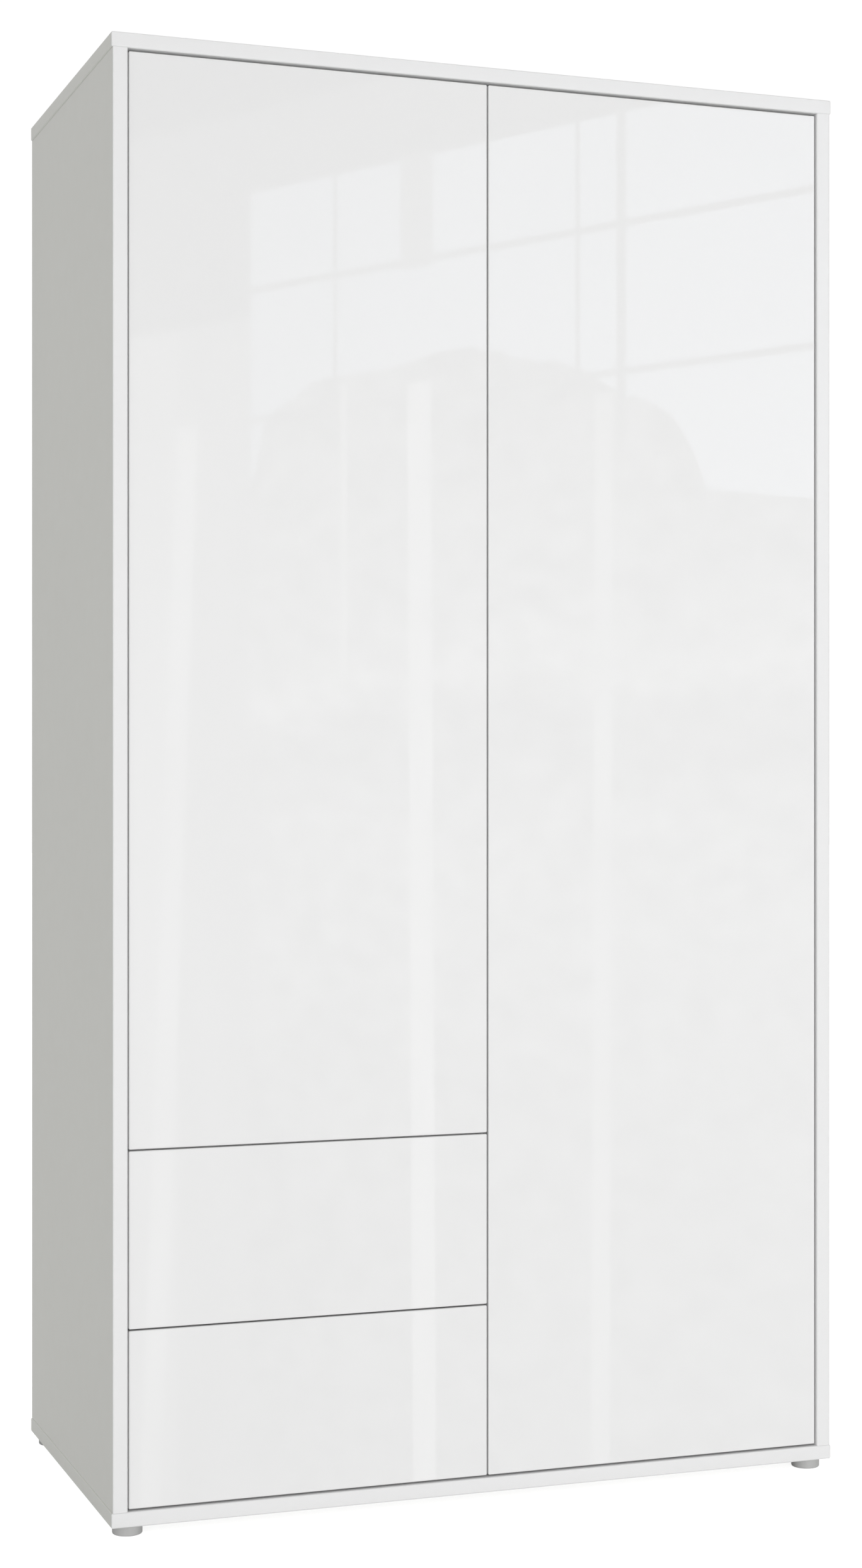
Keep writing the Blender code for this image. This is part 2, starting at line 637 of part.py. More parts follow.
# ---- Drawers -------------------------------------------------------------------------
def channel_outline(depth, height, sheet):
    """A C section: web at x = 0, lips towards +X."""
    half = height / 2
    return [
        (0.0, -half), (depth, -half), (depth, sheet - half), (sheet, sheet - half),
        (sheet, half - sheet), (depth, half - sheet), (depth, half), (0.0, half),
    ]


def build_runners(name, axis_z, axis):
    """Two-part runners: cabinet members on the boards, drawer members on the box."""
    along_y = (math.pi / 2, 0.0, 0.0)
    other_way = (math.pi / 2, 0.0, math.pi)
    cabinet_y = INNER_FRONT + CABINET_RUNNER_SETBACK + CABINET_RUNNER[2] / 2
    drawer_y = FRONTS_BACK + DRAWER_RUNNER_SETBACK + DRAWER_RUNNER[2] / 2
    for side_word, board_face, inwards in (
        ("left", -SIDE_INNER, 1),
        ("right", -PARTITION_FACE, -1),
    ):
        cabinet_turn = along_y if inwards > 0 else other_way
        drawer_turn = other_way if inwards > 0 else along_y
        cabinet_name = f"{name}_{side_word}_cabinet_runner"
        outline = channel_outline(CABINET_RUNNER[0], CABINET_RUNNER[1], RUNNER_SHEET)
        cabinet_mesh = outline_mesh(cabinet_name, [outline], CABINET_RUNNER[2])
        place = (board_face + inwards * CLEARANCE, cabinet_y, axis_z)
        add_piece(cabinet_name, cabinet_mesh, ZINC, place, turn=cabinet_turn)
        drawer_name = f"{name}_{side_word}_drawer_runner"
        outline = channel_outline(DRAWER_RUNNER[0], DRAWER_RUNNER[1], RUNNER_SHEET)
        drawer_mesh = outline_mesh(drawer_name, [outline], DRAWER_RUNNER[2])
        place = (board_face + inwards * (RUNNER_SPACE - CLEARANCE), drawer_y, axis_z)
        add_piece(drawer_name, drawer_mesh, ZINC, place, axis, drawer_turn)


def build_drawer(name, bottom):
    """A drawer: front, folded box, bottom and runners."""
    axis = add_axis(name + "_slide", (DRAWER_CENTRE, FRONTS_FACE, bottom))
    low = (-FRONT_OUTER_EDGE, FRONTS_FACE, bottom)
    high = (-FRONT_INNER_EDGE, FRONTS_BACK, bottom + DRAWER_FRONT_HEIGHT)
    front = add_block(name + "_front", low, high, GLOSS, FRONT_ROUNDING, axis, segments=4)

    box_low = bottom + BOX_ABOVE_FRONT_EDGE
    box_front = FRONTS_BACK + CLEARANCE
    box_rear = box_front + BOX_LENGTH
    outer = BOX_WIDTH / 2
    inner = outer - BOX_BOARD
    low = (DRAWER_CENTRE - outer, box_front, box_low)
    high = (DRAWER_CENTRE + outer, box_rear, box_low + BOX_HEIGHT)
    box = add_block(name + "_box", low, high, MELAMINE, BOX_ROUNDING, axis)
    low = (DRAWER_CENTRE - inner, box_front - BOX_BOARD, box_low - BOX_BOARD)
    high = (DRAWER_CENTRE + inner, box_rear - BOX_BOARD, box_low + BOX_HEIGHT + BOX_BOARD)
    cut_box(box, name + "_box_inside", low, high, axis)

    bottom_low = box_low + BOX_BOTTOM_RISE
    groove_reach = inner + BACK_GROOVE_DEPTH
    groove_low = bottom_low - GROOVE_PLAY
    groove_high = bottom_low + BACK_THICKNESS + GROOVE_PLAY
    low = (DRAWER_CENTRE - groove_reach, box_front - BACK_GROOVE_DEPTH, groove_low)
    high = (DRAWER_CENTRE + groove_reach, box_rear - BOX_BOARD + BACK_GROOVE_DEPTH, groove_high)
    cut_box(box, name + "_box_groove", low, high, axis)
    low = (DRAWER_CENTRE - groove_reach, FRONTS_BACK - BACK_GROOVE_DEPTH, groove_low)
    high = (DRAWER_CENTRE + groove_reach, FRONTS_BACK + BACK_GROOVE_DEPTH, groove_high)
    cut_box(front, name + "_front_groove", low, high, axis)

    reach = inner + PANEL_IN_GROOVE
    panel_rear = box_rear - BOX_BOARD + PANEL_IN_GROOVE
    low = (DRAWER_CENTRE - reach, FRONTS_BACK - PANEL_IN_GROOVE, bottom_low)
    high = (DRAWER_CENTRE + reach, panel_rear, bottom_low + BACK_THICKNESS)
    middle, size = middle_and_size(low, high)
    add_piece(name + "_bottom", box_mesh(name + "_bottom", size), HARDBOARD, middle, axis)
    build_runners(name, box_low + RUNNER_RISE, axis)


# ---- Push-to-open latches --------------------------------------------------------------
def build_latch(name, side):
    """Housing on the partition and a plunger that ends just behind the door's back."""
    along_y = (math.pi / 2, 0.0, 0.0)
    front_y = FRONTS_FACE + LATCH_SETBACK
    x = side * LATCH_CENTRE
    width, length, height = LATCH_HOUSING
    low = (x - width / 2, front_y, LATCH_HEIGHT - height / 2)
    high = (x + width / 2, front_y + length, LATCH_HEIGHT + height / 2)
    housing = add_block(name + "_latch_housing", low, high, PALE_PLASTIC, LATCH_ROUNDING)
    tip_y = FRONTS_BACK + CLEARANCE
    bore_end = tip_y + PLUNGER_LENGTH + BORE_PAST_PLUNGER
    bore_length = 2 * (bore_end - front_y)
    bore_radius = PLUNGER_RADIUS + PLUNGER_PLAY
    bore = cylinder_mesh(name + "_latch_bore", bore_radius, bore_length, PLUNGER_STEPS)
    cutter = add_cutter(name + "_latch_bore", bore, (x, front_y, LATCH_HEIGHT), turn=along_y)
    combine(housing, cutter, "DIFFERENCE")
    axis = add_axis(name + "_plunger_slide", (x, tip_y, LATCH_HEIGHT))
    plunger = cylinder_mesh(name + "_plunger", PLUNGER_RADIUS, PLUNGER_LENGTH, PLUNGER_STEPS)
    place = (x, tip_y + PLUNGER_LENGTH / 2, LATCH_HEIGHT)
    piece = add_piece(name + "_latch_plunger", plunger, PALE_PLASTIC, place, axis, along_y)
    round_edges(piece, PLUNGER_ROUNDING)


# ---- The wardrobe ----------------------------------------------------------------------
clear_scene()
PARTS = make_collection("wardrobe")
CUTTERS = make_collection("wardrobe_cutters")
HINGE_MESHES = {"cup": build_cup(), "link": build_link(), "arm": build_arm()}

build_top_and_bottom()
build_sides_and_partition()
build_back_panels()
build_shelves()
build_feet()
build_clothes_rail()
build_door("left_door", -1, LEFT_DOOR_BOTTOM)
build_door("right_door", 1, RIGHT_DOOR_BOTTOM)
build_drawer("upper_drawer", UPPER_FRONT_BOTTOM)
build_drawer("lower_drawer", LOWER_FRONT_BOTTOM)
build_latch("left_door", -1)
build_latch("right_door", 1)
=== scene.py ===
"""The looks of the two-door wardrobe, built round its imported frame. Lengths are in metres."""
import json
import math
import random

import bmesh
import bpy
from mathutils import Matrix, Vector


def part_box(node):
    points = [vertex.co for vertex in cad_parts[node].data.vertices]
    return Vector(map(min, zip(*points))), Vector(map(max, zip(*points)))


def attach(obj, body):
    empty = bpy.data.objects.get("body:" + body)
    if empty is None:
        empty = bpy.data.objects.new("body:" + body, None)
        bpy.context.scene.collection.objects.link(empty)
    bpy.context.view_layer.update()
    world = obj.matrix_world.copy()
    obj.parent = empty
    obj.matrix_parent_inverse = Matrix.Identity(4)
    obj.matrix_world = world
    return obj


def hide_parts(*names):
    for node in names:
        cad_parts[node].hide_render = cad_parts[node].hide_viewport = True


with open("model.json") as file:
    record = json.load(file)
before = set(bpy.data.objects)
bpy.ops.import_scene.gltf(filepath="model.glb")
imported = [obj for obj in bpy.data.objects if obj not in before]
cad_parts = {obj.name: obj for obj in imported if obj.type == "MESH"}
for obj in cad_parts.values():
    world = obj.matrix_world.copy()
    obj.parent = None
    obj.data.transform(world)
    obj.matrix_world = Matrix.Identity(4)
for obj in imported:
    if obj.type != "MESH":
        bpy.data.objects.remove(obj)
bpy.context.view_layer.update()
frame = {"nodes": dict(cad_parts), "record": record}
NODES = frame["nodes"]
RECORD = frame["record"]
BODY_OF = {
    node: body for body, nodes in RECORD["behaviour"]["bodies"].items() for node in nodes
}
SLOT_OF = {part["node"]: part["material_slot"] for part in RECORD["subparts"]}

WELD_DISTANCE = 1e-6
HOLE_PITCH = 0.032
HOLE_RADIUS = 0.0025
HOLE_DEPTH = 0.0085
CAP_RADIUS = 0.0085
CUT_END = 0.0001         # barely broken arrises where one board is bolted tight to another
TOUCH = 0.00005          # between a small piece and the face that it lies on
SEAM = 0.00012           # the fine dark line where the edging meets a board's face
SHEET_SKIN = 0.0004      # how deep a thin fibreboard's bare face goes
BEVEL_ANGLE = math.radians(35.0)
SHARP_ANGLE = math.radians(40.0)
FLAT_ANGLE = math.radians(0.4)


# ---- Materials -------------------------------------------------------------------------
class Finish:
    """A procedural material on the Principled shader, in each piece's own coordinates."""

    def __init__(self, name, color, roughness, metallic=0.0, ior=1.5):
        self.material = bpy.data.materials.new(name)
        self.material.use_nodes = True
        self.tree = self.material.node_tree
        self.shader = self.tree.nodes["Principled BSDF"]
        self.shader.inputs["Metallic"].default_value = metallic
        self.shader.inputs["IOR"].default_value = ior
        self.shader.inputs["Roughness"].default_value = roughness
        self.shader.inputs["Base Color"].default_value = (*color, 1.0)
        self.material.diffuse_color = (*color, 1.0)
        coordinates = self.tree.nodes.new("ShaderNodeTexCoord")
        self.place = coordinates.outputs["Object"]

    def link(self, value, socket):
        if isinstance(value, (int, float)):
            socket.default_value = value
        elif isinstance(value, tuple):
            socket.default_value = (*value, 1.0) if len(value) == 3 else value
        else:
            self.tree.links.new(value, socket)

    def stretched(self, scale):
        mapping = self.tree.nodes.new("ShaderNodeMapping")
        mapping.inputs["Scale"].default_value = scale
        self.tree.links.new(self.place, mapping.inputs["Vector"])
        return mapping.outputs["Vector"]

    def noise(self, scale, detail=2.0, rough=0.5, stretch=None, distortion=0.0):
        node = self.tree.nodes.new("ShaderNodeTexNoise")
        node.inputs["Scale"].default_value = scale
        node.inputs["Detail"].default_value = detail
        node.inputs["Roughness"].default_value = rough
        node.inputs["Distortion"].default_value = distortion
        vector = self.stretched(stretch) if stretch else self.place
        self.tree.links.new(vector, node.inputs["Vector"])
        return node.outputs["Fac"]

    def cells(self, scale, stretch=None):
        node = self.tree.nodes.new("ShaderNodeTexVoronoi")
        node.inputs["Scale"].default_value = scale
        vector = self.stretched(stretch) if stretch else self.place
        self.tree.links.new(vector, node.inputs["Vector"])
        return node

    def math(self, operation, first, second=0.0):
        node = self.tree.nodes.new("ShaderNodeMath")
        node.operation = operation
        self.link(first, node.inputs[0])
        self.link(second, node.inputs[1])
        return node.outputs[0]

    def remap(self, value, low, high, new_low, new_high):
        node = self.tree.nodes.new("ShaderNodeMapRange")
        self.link(value, node.inputs["Value"])
        node.inputs["From Min"].default_value = low
        node.inputs["From Max"].default_value = high
        node.inputs["To Min"].default_value = new_low
        node.inputs["To Max"].default_value = new_high
        return node.outputs["Result"]

    def mix(self, factor, first, second):
        node = self.tree.nodes.new("ShaderNodeMix")
        node.data_type = "RGBA"
        self.link(factor, node.inputs["Factor"])
        self.link(first, node.inputs[6])
        self.link(second, node.inputs[7])
        return node.outputs[2]

    def between(self, factor, first, second):
        """A number from first, where the factor is 0, to second, where it is 1."""
        node = self.tree.nodes.new("ShaderNodeMapRange")
        self.link(factor, node.inputs["Value"])
        self.link(first, node.inputs["To Min"])
        self.link(second, node.inputs["To Max"])
        return node.outputs["Result"]

    def axis(self, letter):
        node = self.tree.nodes.new("ShaderNodeSeparateXYZ")
        self.tree.links.new(self.place, node.inputs[0])
        return node.outputs[letter]

    def below(self, letter, limit, softness=0.0001):
        """1 where the coordinate is under the limit, 0 over it."""
        return self.remap(self.axis(letter), limit - softness, limit + softness, 1.0, 0.0)

    def above(self, letter, limit, softness=0.0001):
        return self.remap(self.axis(letter), limit - softness, limit + softness, 0.0, 1.0)

    def color(self, value):
        self.link(value, self.shader.inputs["Base Color"])

    def roughness(self, value):
        self.link(value, self.shader.inputs["Roughness"])

    def bump(self, *layers):
        """Each layer is (height, depth in metres)."""
        previous = None
        for height, depth in layers:
            node = self.tree.nodes.new("ShaderNodeBump")
            node.inputs["Strength"].default_value = 1.0
            node.inputs["Distance"].default_value = depth
            self.link(height, node.inputs["Height"])
            if previous is not None:
                self.tree.links.new(previous, node.inputs["Normal"])
            previous = node.outputs["Normal"]
        self.tree.links.new(previous, self.shader.inputs["Normal"])


def shade(color, factor):
    return tuple(channel * factor for channel in color)


def varied(finish, color, amount, scale):
    """The colour, a little lighter and darker from place to place."""
    cloud = finish.noise(scale, 3.0, 0.55)
    spread = finish.remap(cloud, 0.3, 0.7, 0.0, 1.0)
    return finish.mix(spread, shade(color, 1.0 - amount), shade(color, 1.0 + amount))


def speckled(finish, color):
    speckle = finish.remap(finish.noise(420.0, 2.0), 0.62, 0.72, 0.0, 0.35)
    return finish.mix(speckle, varied(finish, color, 0.006, 2.6), shade(color, 0.965))


def melamine(name, face, band=None, band_limit=None, inner=None):
    """Matt pearl-grained board; a band of edging covers what lies in front of band_limit.

    Where inner is given, it is the board's own white on the faces that look into the carcass, and face is the
    outer faces' colour: that white with painted shade in it, darker and yellower.
    """
    finish = Finish(name, face, 0.44)
    tone = speckled(finish, face)
    # Painted shade: outside this box the outer faces keep the darker, yellower face colour; inside it they
    # get the board's own white.
    if inner is not None:
        inside = finish.math("LESS_THAN", finish.math("ABSOLUTE", finish.axis("X")), inner_x)
        inside = finish.math("MULTIPLY", inside, finish.math("GREATER_THAN", finish.axis("Z"), inner_low))
        inside = finish.math("MULTIPLY", inside, finish.math("LESS_THAN", finish.axis("Z"), inner_high))
        tone = finish.mix(inside, tone, speckled(finish, inner))
    grain = finish.noise(1150.0, 3.0, 0.6)
    wave = finish.noise(95.0, 2.0)
    rough = finish.remap(finish.noise(38.0, 3.0), 0.3, 0.7, 0.40, 0.49)
    if band is not None:
        edge = finish.below("Y", band_limit)
        seam = finish.below("Y", band_limit + SEAM)
        joint = finish.math("MULTIPLY", seam, finish.above("Y", band_limit))
        tone = finish.mix(edge, tone, varied(finish, band, 0.004, 9.0))
        tone = finish.mix(joint, tone, shade(face, 0.80))
        rough = finish.math("SUBTRACT", rough, finish.math("MULTIPLY", edge, 0.10))
    finish.color(tone)
    finish.roughness(rough)
    finish.bump((wave, 0.00003), (grain, 0.000012))
    return finish.material


def gloss_foil(name, face, back_limit):
    """Glossy foil on the face and the edges, satin paper on the back."""
    finish = Finish(name, face, 0.02)
    back = finish.above("Y", back_limit, 0.0002)
    tone = varied(finish, face, 0.003, 1.7)
    paper = varied(finish, shade(face, 0.965), 0.010, 5.0)
    finish.color(finish.mix(back, tone, paper))
    smear = finish.remap(finish.noise(14.0, 3.0), 0.3, 0.7, 0.014, 0.024)
    satin = finish.remap(finish.noise(40.0, 3.0), 0.3, 0.7, 0.38, 0.46)
    finish.roughness(finish.between(back, smear, satin))
    swell = finish.noise(26.0, 1.0)
    peel = finish.noise(230.0, 2.0)
    finish.bump((swell, 0.0000055), (peel, 0.0000006))
    return finish.material


def hardboard(name, face, bare, letter, limit, bare_is_above):
    """Lacquered thin fibreboard whose other side is bare."""
    finish = Finish(name, face, 0.5)
    side = finish.above(letter, limit) if bare_is_above else finish.below(letter, limit)
    lacquer = varied(finish, face, 0.012, 7.0)
    specks = finish.remap(finish.noise(260.0, 3.0), 0.55, 0.75, 0.0, 0.4)
    lacquer = finish.mix(specks, lacquer, shade(face, 0.94))
    fibres = finish.noise(190.0, 5.0, 0.7, distortion=0.8)
    cloud = finish.noise(6.0, 4.0, 0.6)
    tan = finish.mix(finish.remap(fibres, 0.3, 0.7, 0.0, 1.0), shade(bare, 0.78), shade(bare, 1.16))
    tan = finish.mix(finish.remap(cloud, 0.35, 0.7, 0.0, 0.45), tan, shade(bare, 0.90))
    flecks = finish.noise(700.0, 2.0)
    tan = finish.mix(finish.remap(flecks, 0.66, 0.72, 0.0, 0.6), tan, shade(bare, 0.5))
    finish.color(finish.mix(side, lacquer, tan))
    finish.roughness(finish.between(side, 0.42, 0.78))
    finish.bump((finish.noise(110.0, 2.0), 0.00004), (fibres, 0.00003))
    return finish.material


def particleboard(name):
    finish = Finish(name, (0.42, 0.30, 0.18), 0.85)
    chips = finish.cells(620.0, (1.0, 1.0, 2.2))
    tone = finish.mix(chips.outputs["Color"], (0.30, 0.20, 0.11), (0.56, 0.42, 0.27))
    finish.color(tone)
    finish.bump((chips.outputs["Distance"], 0.00025))
    return finish.material


def metal(name, color, rough, brushed=None, blotches=0.0):
    """Plated steel; brushed is the way of its fine lines, blotches the spangle of zinc."""
    finish = Finish(name, color, rough, metallic=1.0)
    lines = finish.noise(900.0, 2.0, 0.5, stretch=brushed or (1.0, 1.0, 1.0))
    spangle = finish.cells(170.0)
    tone = finish.mix(finish.remap(lines, 0.35, 0.65, 0.0, 1.0), shade(color, 0.95), shade(color, 1.04))
    if blotches:
        dull = finish.math("MULTIPLY", spangle.outputs["Distance"], blotches)
        tone = finish.mix(dull, tone, shade(color, 0.72))
    finish.color(tone)
    finish.roughness(finish.remap(finish.noise(120.0, 3.0), 0.3, 0.7, rough * 0.8, rough * 1.25))
    finish.bump((lines, 0.0000025))
    return finish.material


def plastic(name, color, rough, grain=0.00002):
    finish = Finish(name, color, rough, ior=1.46)
    finish.color(varied(finish, color, 0.02, 30.0))
    finish.roughness(finish.remap(finish.noise(70.0, 3.0), 0.3, 0.7, rough * 0.88, rough * 1.12))
    finish.bump((finish.noise(750.0, 3.0, 0.6), grain))
    return finish.material


def clear_rubber(name):
    finish = Finish(name, (0.80, 0.81, 0.80), 0.22, ior=1.45)
    finish.color(varied(finish, (0.80, 0.81, 0.80), 0.02, 90.0))
    finish.shader.inputs["Transmission Weight"].default_value = 0.6
    finish.bump((finish.noise(500.0, 2.0), 0.00001))
    return finish.material


# Painted shade: the outer faces' white, darkened and yellowed to stand for the shade on them; INNER_FACE is
# the board's own white.
OUTER_FACE_WITH_PAINTED_SHADE = (0.832, 0.835, 0.789)
INNER_FACE = (0.885, 0.885, 0.885)
BAND = (0.870, 0.870, 0.870)
GLOSS = (0.870, 0.870, 0.868)
LACQUER = (0.82, 0.82, 0.80)
BARE = (0.37, 0.245, 0.15)
front_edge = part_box("left_side_panel")[0].y
shelf_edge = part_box("lower_left_shelf")[0].y
fixed_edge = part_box("centre_partition")[0].y
fronts_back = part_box("left_door")[1].y
backs_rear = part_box("left_back_panel")[1].y
EDGING = 0.002
FACE_MARGIN = 0.001
inner_x = abs(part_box("left_side_panel")[1].x) + FACE_MARGIN
inner_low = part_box("bottom_panel")[1].z - FACE_MARGIN
inner_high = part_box("top_panel")[0].z + FACE_MARGIN

PARTICLE = particleboard("bare_particleboard")
# Painted shade on the carcass's outer faces, from their shaded face colour.
CARCASS = melamine("white_melamine", OUTER_FACE_WITH_PAINTED_SHADE, BAND, front_edge + EDGING, INNER_FACE)
INNER_BOARD = melamine("white_melamine_inner", INNER_FACE, BAND, fixed_edge + EDGING)
SHELF_BOARD = melamine("white_melamine_shelf", INNER_FACE, BAND, shelf_edge + EDGING)
DRAWER_BOARD = melamine("white_foil_drawer", (0.84, 0.84, 0.825))
FRONTS = gloss_foil("gloss_white_foil", GLOSS, fronts_back - 0.0005)
BACKS = hardboard("back_hardboard", LACQUER, BARE, "Y", backs_rear - SHEET_SKIN, True)
NICKEL = metal("nickel_plate", (0.66, 0.64, 0.60), 0.24, (1.0, 1.0, 14.0))
ZINC = metal("zinc_plate", (0.60, 0.615, 0.63), 0.34, (14.0, 1.0, 14.0), 0.5)
CHROME = metal("chrome_plate", (0.80, 0.80, 0.81), 0.09, (1.0, 20.0, 20.0))
FOOT_PLASTIC = plastic("grey_foot_plastic", (0.530, 0.530, 0.526), 0.46, 0.00003)
LATCH_PLASTIC = plastic("pale_latch_plastic", (0.60, 0.60, 0.60), 0.40)
PLUNGER_PLASTIC = plastic("grey_plunger_plastic", (0.42, 0.42, 0.43), 0.30)
CAP_PLASTIC = plastic("white_cap_plastic", (0.84, 0.84, 0.83), 0.35)
RUBBER = clear_rubber("clear_bumper_rubber")


# ---- Meshes ----------------------------------------------------------------------------
def finish_mesh(shape, name):
    mesh = bpy.data.meshes.new(name)
    bmesh.ops.recalc_face_normals(shape, faces=shape.faces)
    shape.to_mesh(mesh)
    shape.free()
    return smooth(mesh)


def smooth(mesh):
    old_normals = mesh.attributes.get("custom_normal")
    if old_normals is not None:
        mesh.attributes.remove(old_normals)
    mesh.shade_smooth()
    mesh.set_sharp_from_angle(angle=SHARP_ANGLE)
    return mesh


def add_object(name, mesh, material, body, slot=None, *replaced):
    piece = bpy.data.objects.new(name, mesh)
    bpy.context.scene.collection.objects.link(piece)
    if not mesh.materials:
        mesh.materials.append(material)
    weighted = piece.modifiers.new("even_normals", "WEIGHTED_NORMAL")
    weighted.keep_sharp = True
    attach(piece, body)
    if replaced:
        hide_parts(*replaced)
    return piece


def clean_shape(node):
    """A CAD node's shape with its doubled points welded and its flat faces whole."""
    shape = bmesh.new()
    shape.from_mesh(NODES[node].data)
    bmesh.ops.remove_doubles(shape, verts=shape.verts, dist=WELD_DISTANCE)
    bmesh.ops.dissolve_limit(shape, angle_limit=FLAT_ANGLE, verts=shape.verts, edges=shape.edges)
    return shape


def bevel_sharp(shape, width):
    edges = [
        edge for edge in shape.edges
        if len(edge.link_faces) == 2 and edge.calc_face_angle() > BEVEL_ANGLE
    ]
    bmesh.ops.bevel(
        shape, geom=edges, offset=width, segments=2, profile=0.5, affect="EDGES", clamp_overlap=True,
    )


def refine(node, material, suffix, bevel=0.0003, holes=None):
    """A finer piece that stands for a CAD node: softened edges, and bores where given."""
    shape = clean_shape(node)
    if bevel:
        bevel_sharp(shape, bevel)
    mesh = finish_mesh(shape, f"{node}_{suffix}")
    mesh.materials.clear()
    mesh.materials.append(material)
    if holes:
        mesh = drilled(mesh, holes)
    return add_object(f"{node}_{suffix}", mesh, material, BODY_OF[node], SLOT_OF[node], node)


def drilled(mesh, holes):
    """The mesh less a cylinder for each (centre of the mouth, direction, radius, depth)."""
    shape = bmesh.new()
    for centre, direction, radius, depth in holes:
        turn = Vector((0.0, 0.0, 1.0)).rotation_difference(Vector(direction)).to_matrix().to_4x4()
        middle = Vector(centre) + Vector(direction) * (depth / 2 - 0.0005)
        bmesh.ops.create_cone(
            shape, cap_ends=True, segments=12, radius1=radius, radius2=radius,
            depth=depth + 0.001, matrix=Matrix.Translation(middle) @ turn,
        )
    cutter_mesh = bpy.data.meshes.new("cutter")
    shape.to_mesh(cutter_mesh)
    shape.free()
    cutter_mesh.materials.append(PARTICLE)
    board = bpy.data.objects.new("board", mesh)
    cutter = bpy.data.objects.new("cutter", cutter_mesh)
    for piece in (board, cutter):
        bpy.context.scene.collection.objects.link(piece)
    cut = board.modifiers.new("holes", "BOOLEAN")
    cut.object = cutter
    cut.operation = "DIFFERENCE"
    cut.solver = "EXACT"
    cut.material_mode = "TRANSFER"
    bpy.context.view_layer.update()
    depsgraph = bpy.context.evaluated_depsgraph_get()
    result = bpy.data.meshes.new_from_object(board.evaluated_get(depsgraph))
    for piece in (board, cutter):
        bpy.data.objects.remove(piece)
    result.name = mesh.name
    return smooth(result)


def lathe(profile, steps=28):
    """A shape turned about Z from (radius, height) points; ends on the axis are closed."""
    shape = bmesh.new()
    rings = []
    for radius, height in profile:
        if radius == 0.0:
            rings.append([shape.verts.new((0.0, 0.0, height))])
            continue
        ring = []
        for step in range(steps):
            angle = 2 * math.pi * step / steps
            ring.append(shape.verts.new((radius * math.cos(angle), radius * math.sin(angle), height)))
        rings.append(ring)
    for low, high in zip(rings, rings[1:]):
        for step in range(steps):
            following = (step + 1) % steps
            corners = [low[step % len(low)], low[following % len(low)]]
            corners += [high[following % len(high)], high[step % len(high)]]
            shape.faces.new(list(dict.fromkeys(corners)))
    return shape


def screw_head(radius, height):
    """A screw head with a cross recess; its underside is at z = 0 and it faces +Z."""
    edge_height = 0.25 * height
    profile = [
        (0.0, 0.0), (radius * 0.96, 0.0), (radius, edge_height * 0.5), (radius * 0.985, edge_height),
        (radius * 0.88, edge_height + (height - edge_height) * 0.55),
        (radius * 0.74, edge_height + (height - edge_height) * 0.88), (radius * 0.62, height),
    ]
    shape = lathe(profile, 24)
    rim = [vert for vert in shape.verts if abs(vert.co.z - height) < 1e-9]
    arm, half = radius * 0.5, radius * 0.13
    plan = [
        (arm, -half), (arm, half), (half, half), (half, arm), (-half, arm), (-half, half),
        (-arm, half), (-arm, -half), (-half, -half), (-half, -arm), (half, -arm), (half, -half),
    ]
    top = [shape.verts.new((x, y, height)) for x, y in plan]
    deep = [shape.verts.new((x * 0.6, y * 0.6, height * 0.35)) for x, y in plan]
    edges = [edge for edge in shape.edges if edge.verts[0] in rim and edge.verts[1] in rim]
    count = len(plan)
    edges += [shape.edges.new((top[index], top[(index + 1) % count])) for index in range(count)]
    bmesh.ops.triangle_fill(shape, edges=edges, use_beauty=True, use_dissolve=False)
    inside = [face for face in shape.faces if all(vert in top for vert in face.verts)]
    bmesh.ops.delete(shape, geom=inside, context="FACES_ONLY")
    for index in range(count):
        following = (index + 1) % count
        shape.faces.new((top[index], top[following], deep[following], deep[index]))
    shape.faces.new(deep)
    return shape


def block(size, width):
    """A box with rounded edges, its middle at the origin."""
    shape = bmesh.new()
    bmesh.ops.create_cube(shape, size=1.0, matrix=Matrix.Diagonal((*size, 1.0)))
    bmesh.ops.bevel(
        shape, geom=list(shape.edges), offset=width, segments=2, profile=0.5, affect="EDGES",
    )
    return shape


def facing(point, direction, spin=0.0):
    """Places a shape whose axis is +Z at a point, facing a direction."""
    turn = Vector((0.0, 0.0, 1.0)).rotation_difference(Vector(direction)).to_matrix().to_4x4()
    return Matrix.Translation(Vector(point)) @ turn @ Matrix.Rotation(spin, 4, "Z")


def copies(name, pattern, places, material, body):
    """One object with a copy of the pattern at each place."""
    template = bpy.data.meshes.new("template")
    bmesh.ops.recalc_face_normals(pattern, faces=pattern.faces)
    pattern.to_mesh(template)
    pattern.free()
    whole = bmesh.new()
    for place in places:
        start = len(whole.verts)
        whole.from_mesh(template)
        whole.verts.ensure_lookup_table()
        added = whole.verts[start:]
        bmesh.ops.transform(whole, matrix=place, verts=added)
    bpy.data.meshes.remove(template)
    return add_object(name, finish_mesh(whole, name), material, body)


# ---- Boards ----------------------------------------------------------------------------
side_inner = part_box("left_side_panel")[1].x
partition_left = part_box("centre_partition")[0].x
partition_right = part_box("centre_partition")[1].x
inside_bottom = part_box("bottom_panel")[1].z
inside_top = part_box("top_panel")[0].z
hinge_z = {
    side: sorted(
        (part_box(node)[0].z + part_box(node)[1].z) / 2
        for node in NODES if node.startswith(side) and node.endswith("hinge_arm")
    )
    for side in ("left", "right")
}
ROW_SETBACK = 0.048      # the front row of holes, behind the hinge arms' front ends
ROW_HOLES = 61
ROW_MARGIN = 0.030       # between the rows' ends and the next board
RIGHT_ROW_MARGIN = 0.040
arm_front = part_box("left_door_top_hinge_arm")[0].y
front_row = arm_front + ROW_SETBACK
rear_row = -front_row
grid_top = hinge_z["left"][-1] + HOLE_PITCH / 2
row_heights = [grid_top + HOLE_PITCH * (1 - step) for step in range(ROW_HOLES)]


def hole_rows(face_x, inwards, low, high):
    return [
        ((face_x, y, z), (inwards, 0.0, 0.0), HOLE_RADIUS, HOLE_DEPTH)
        for y in (front_row, rear_row) for z in row_heights if low < z < high
    ]


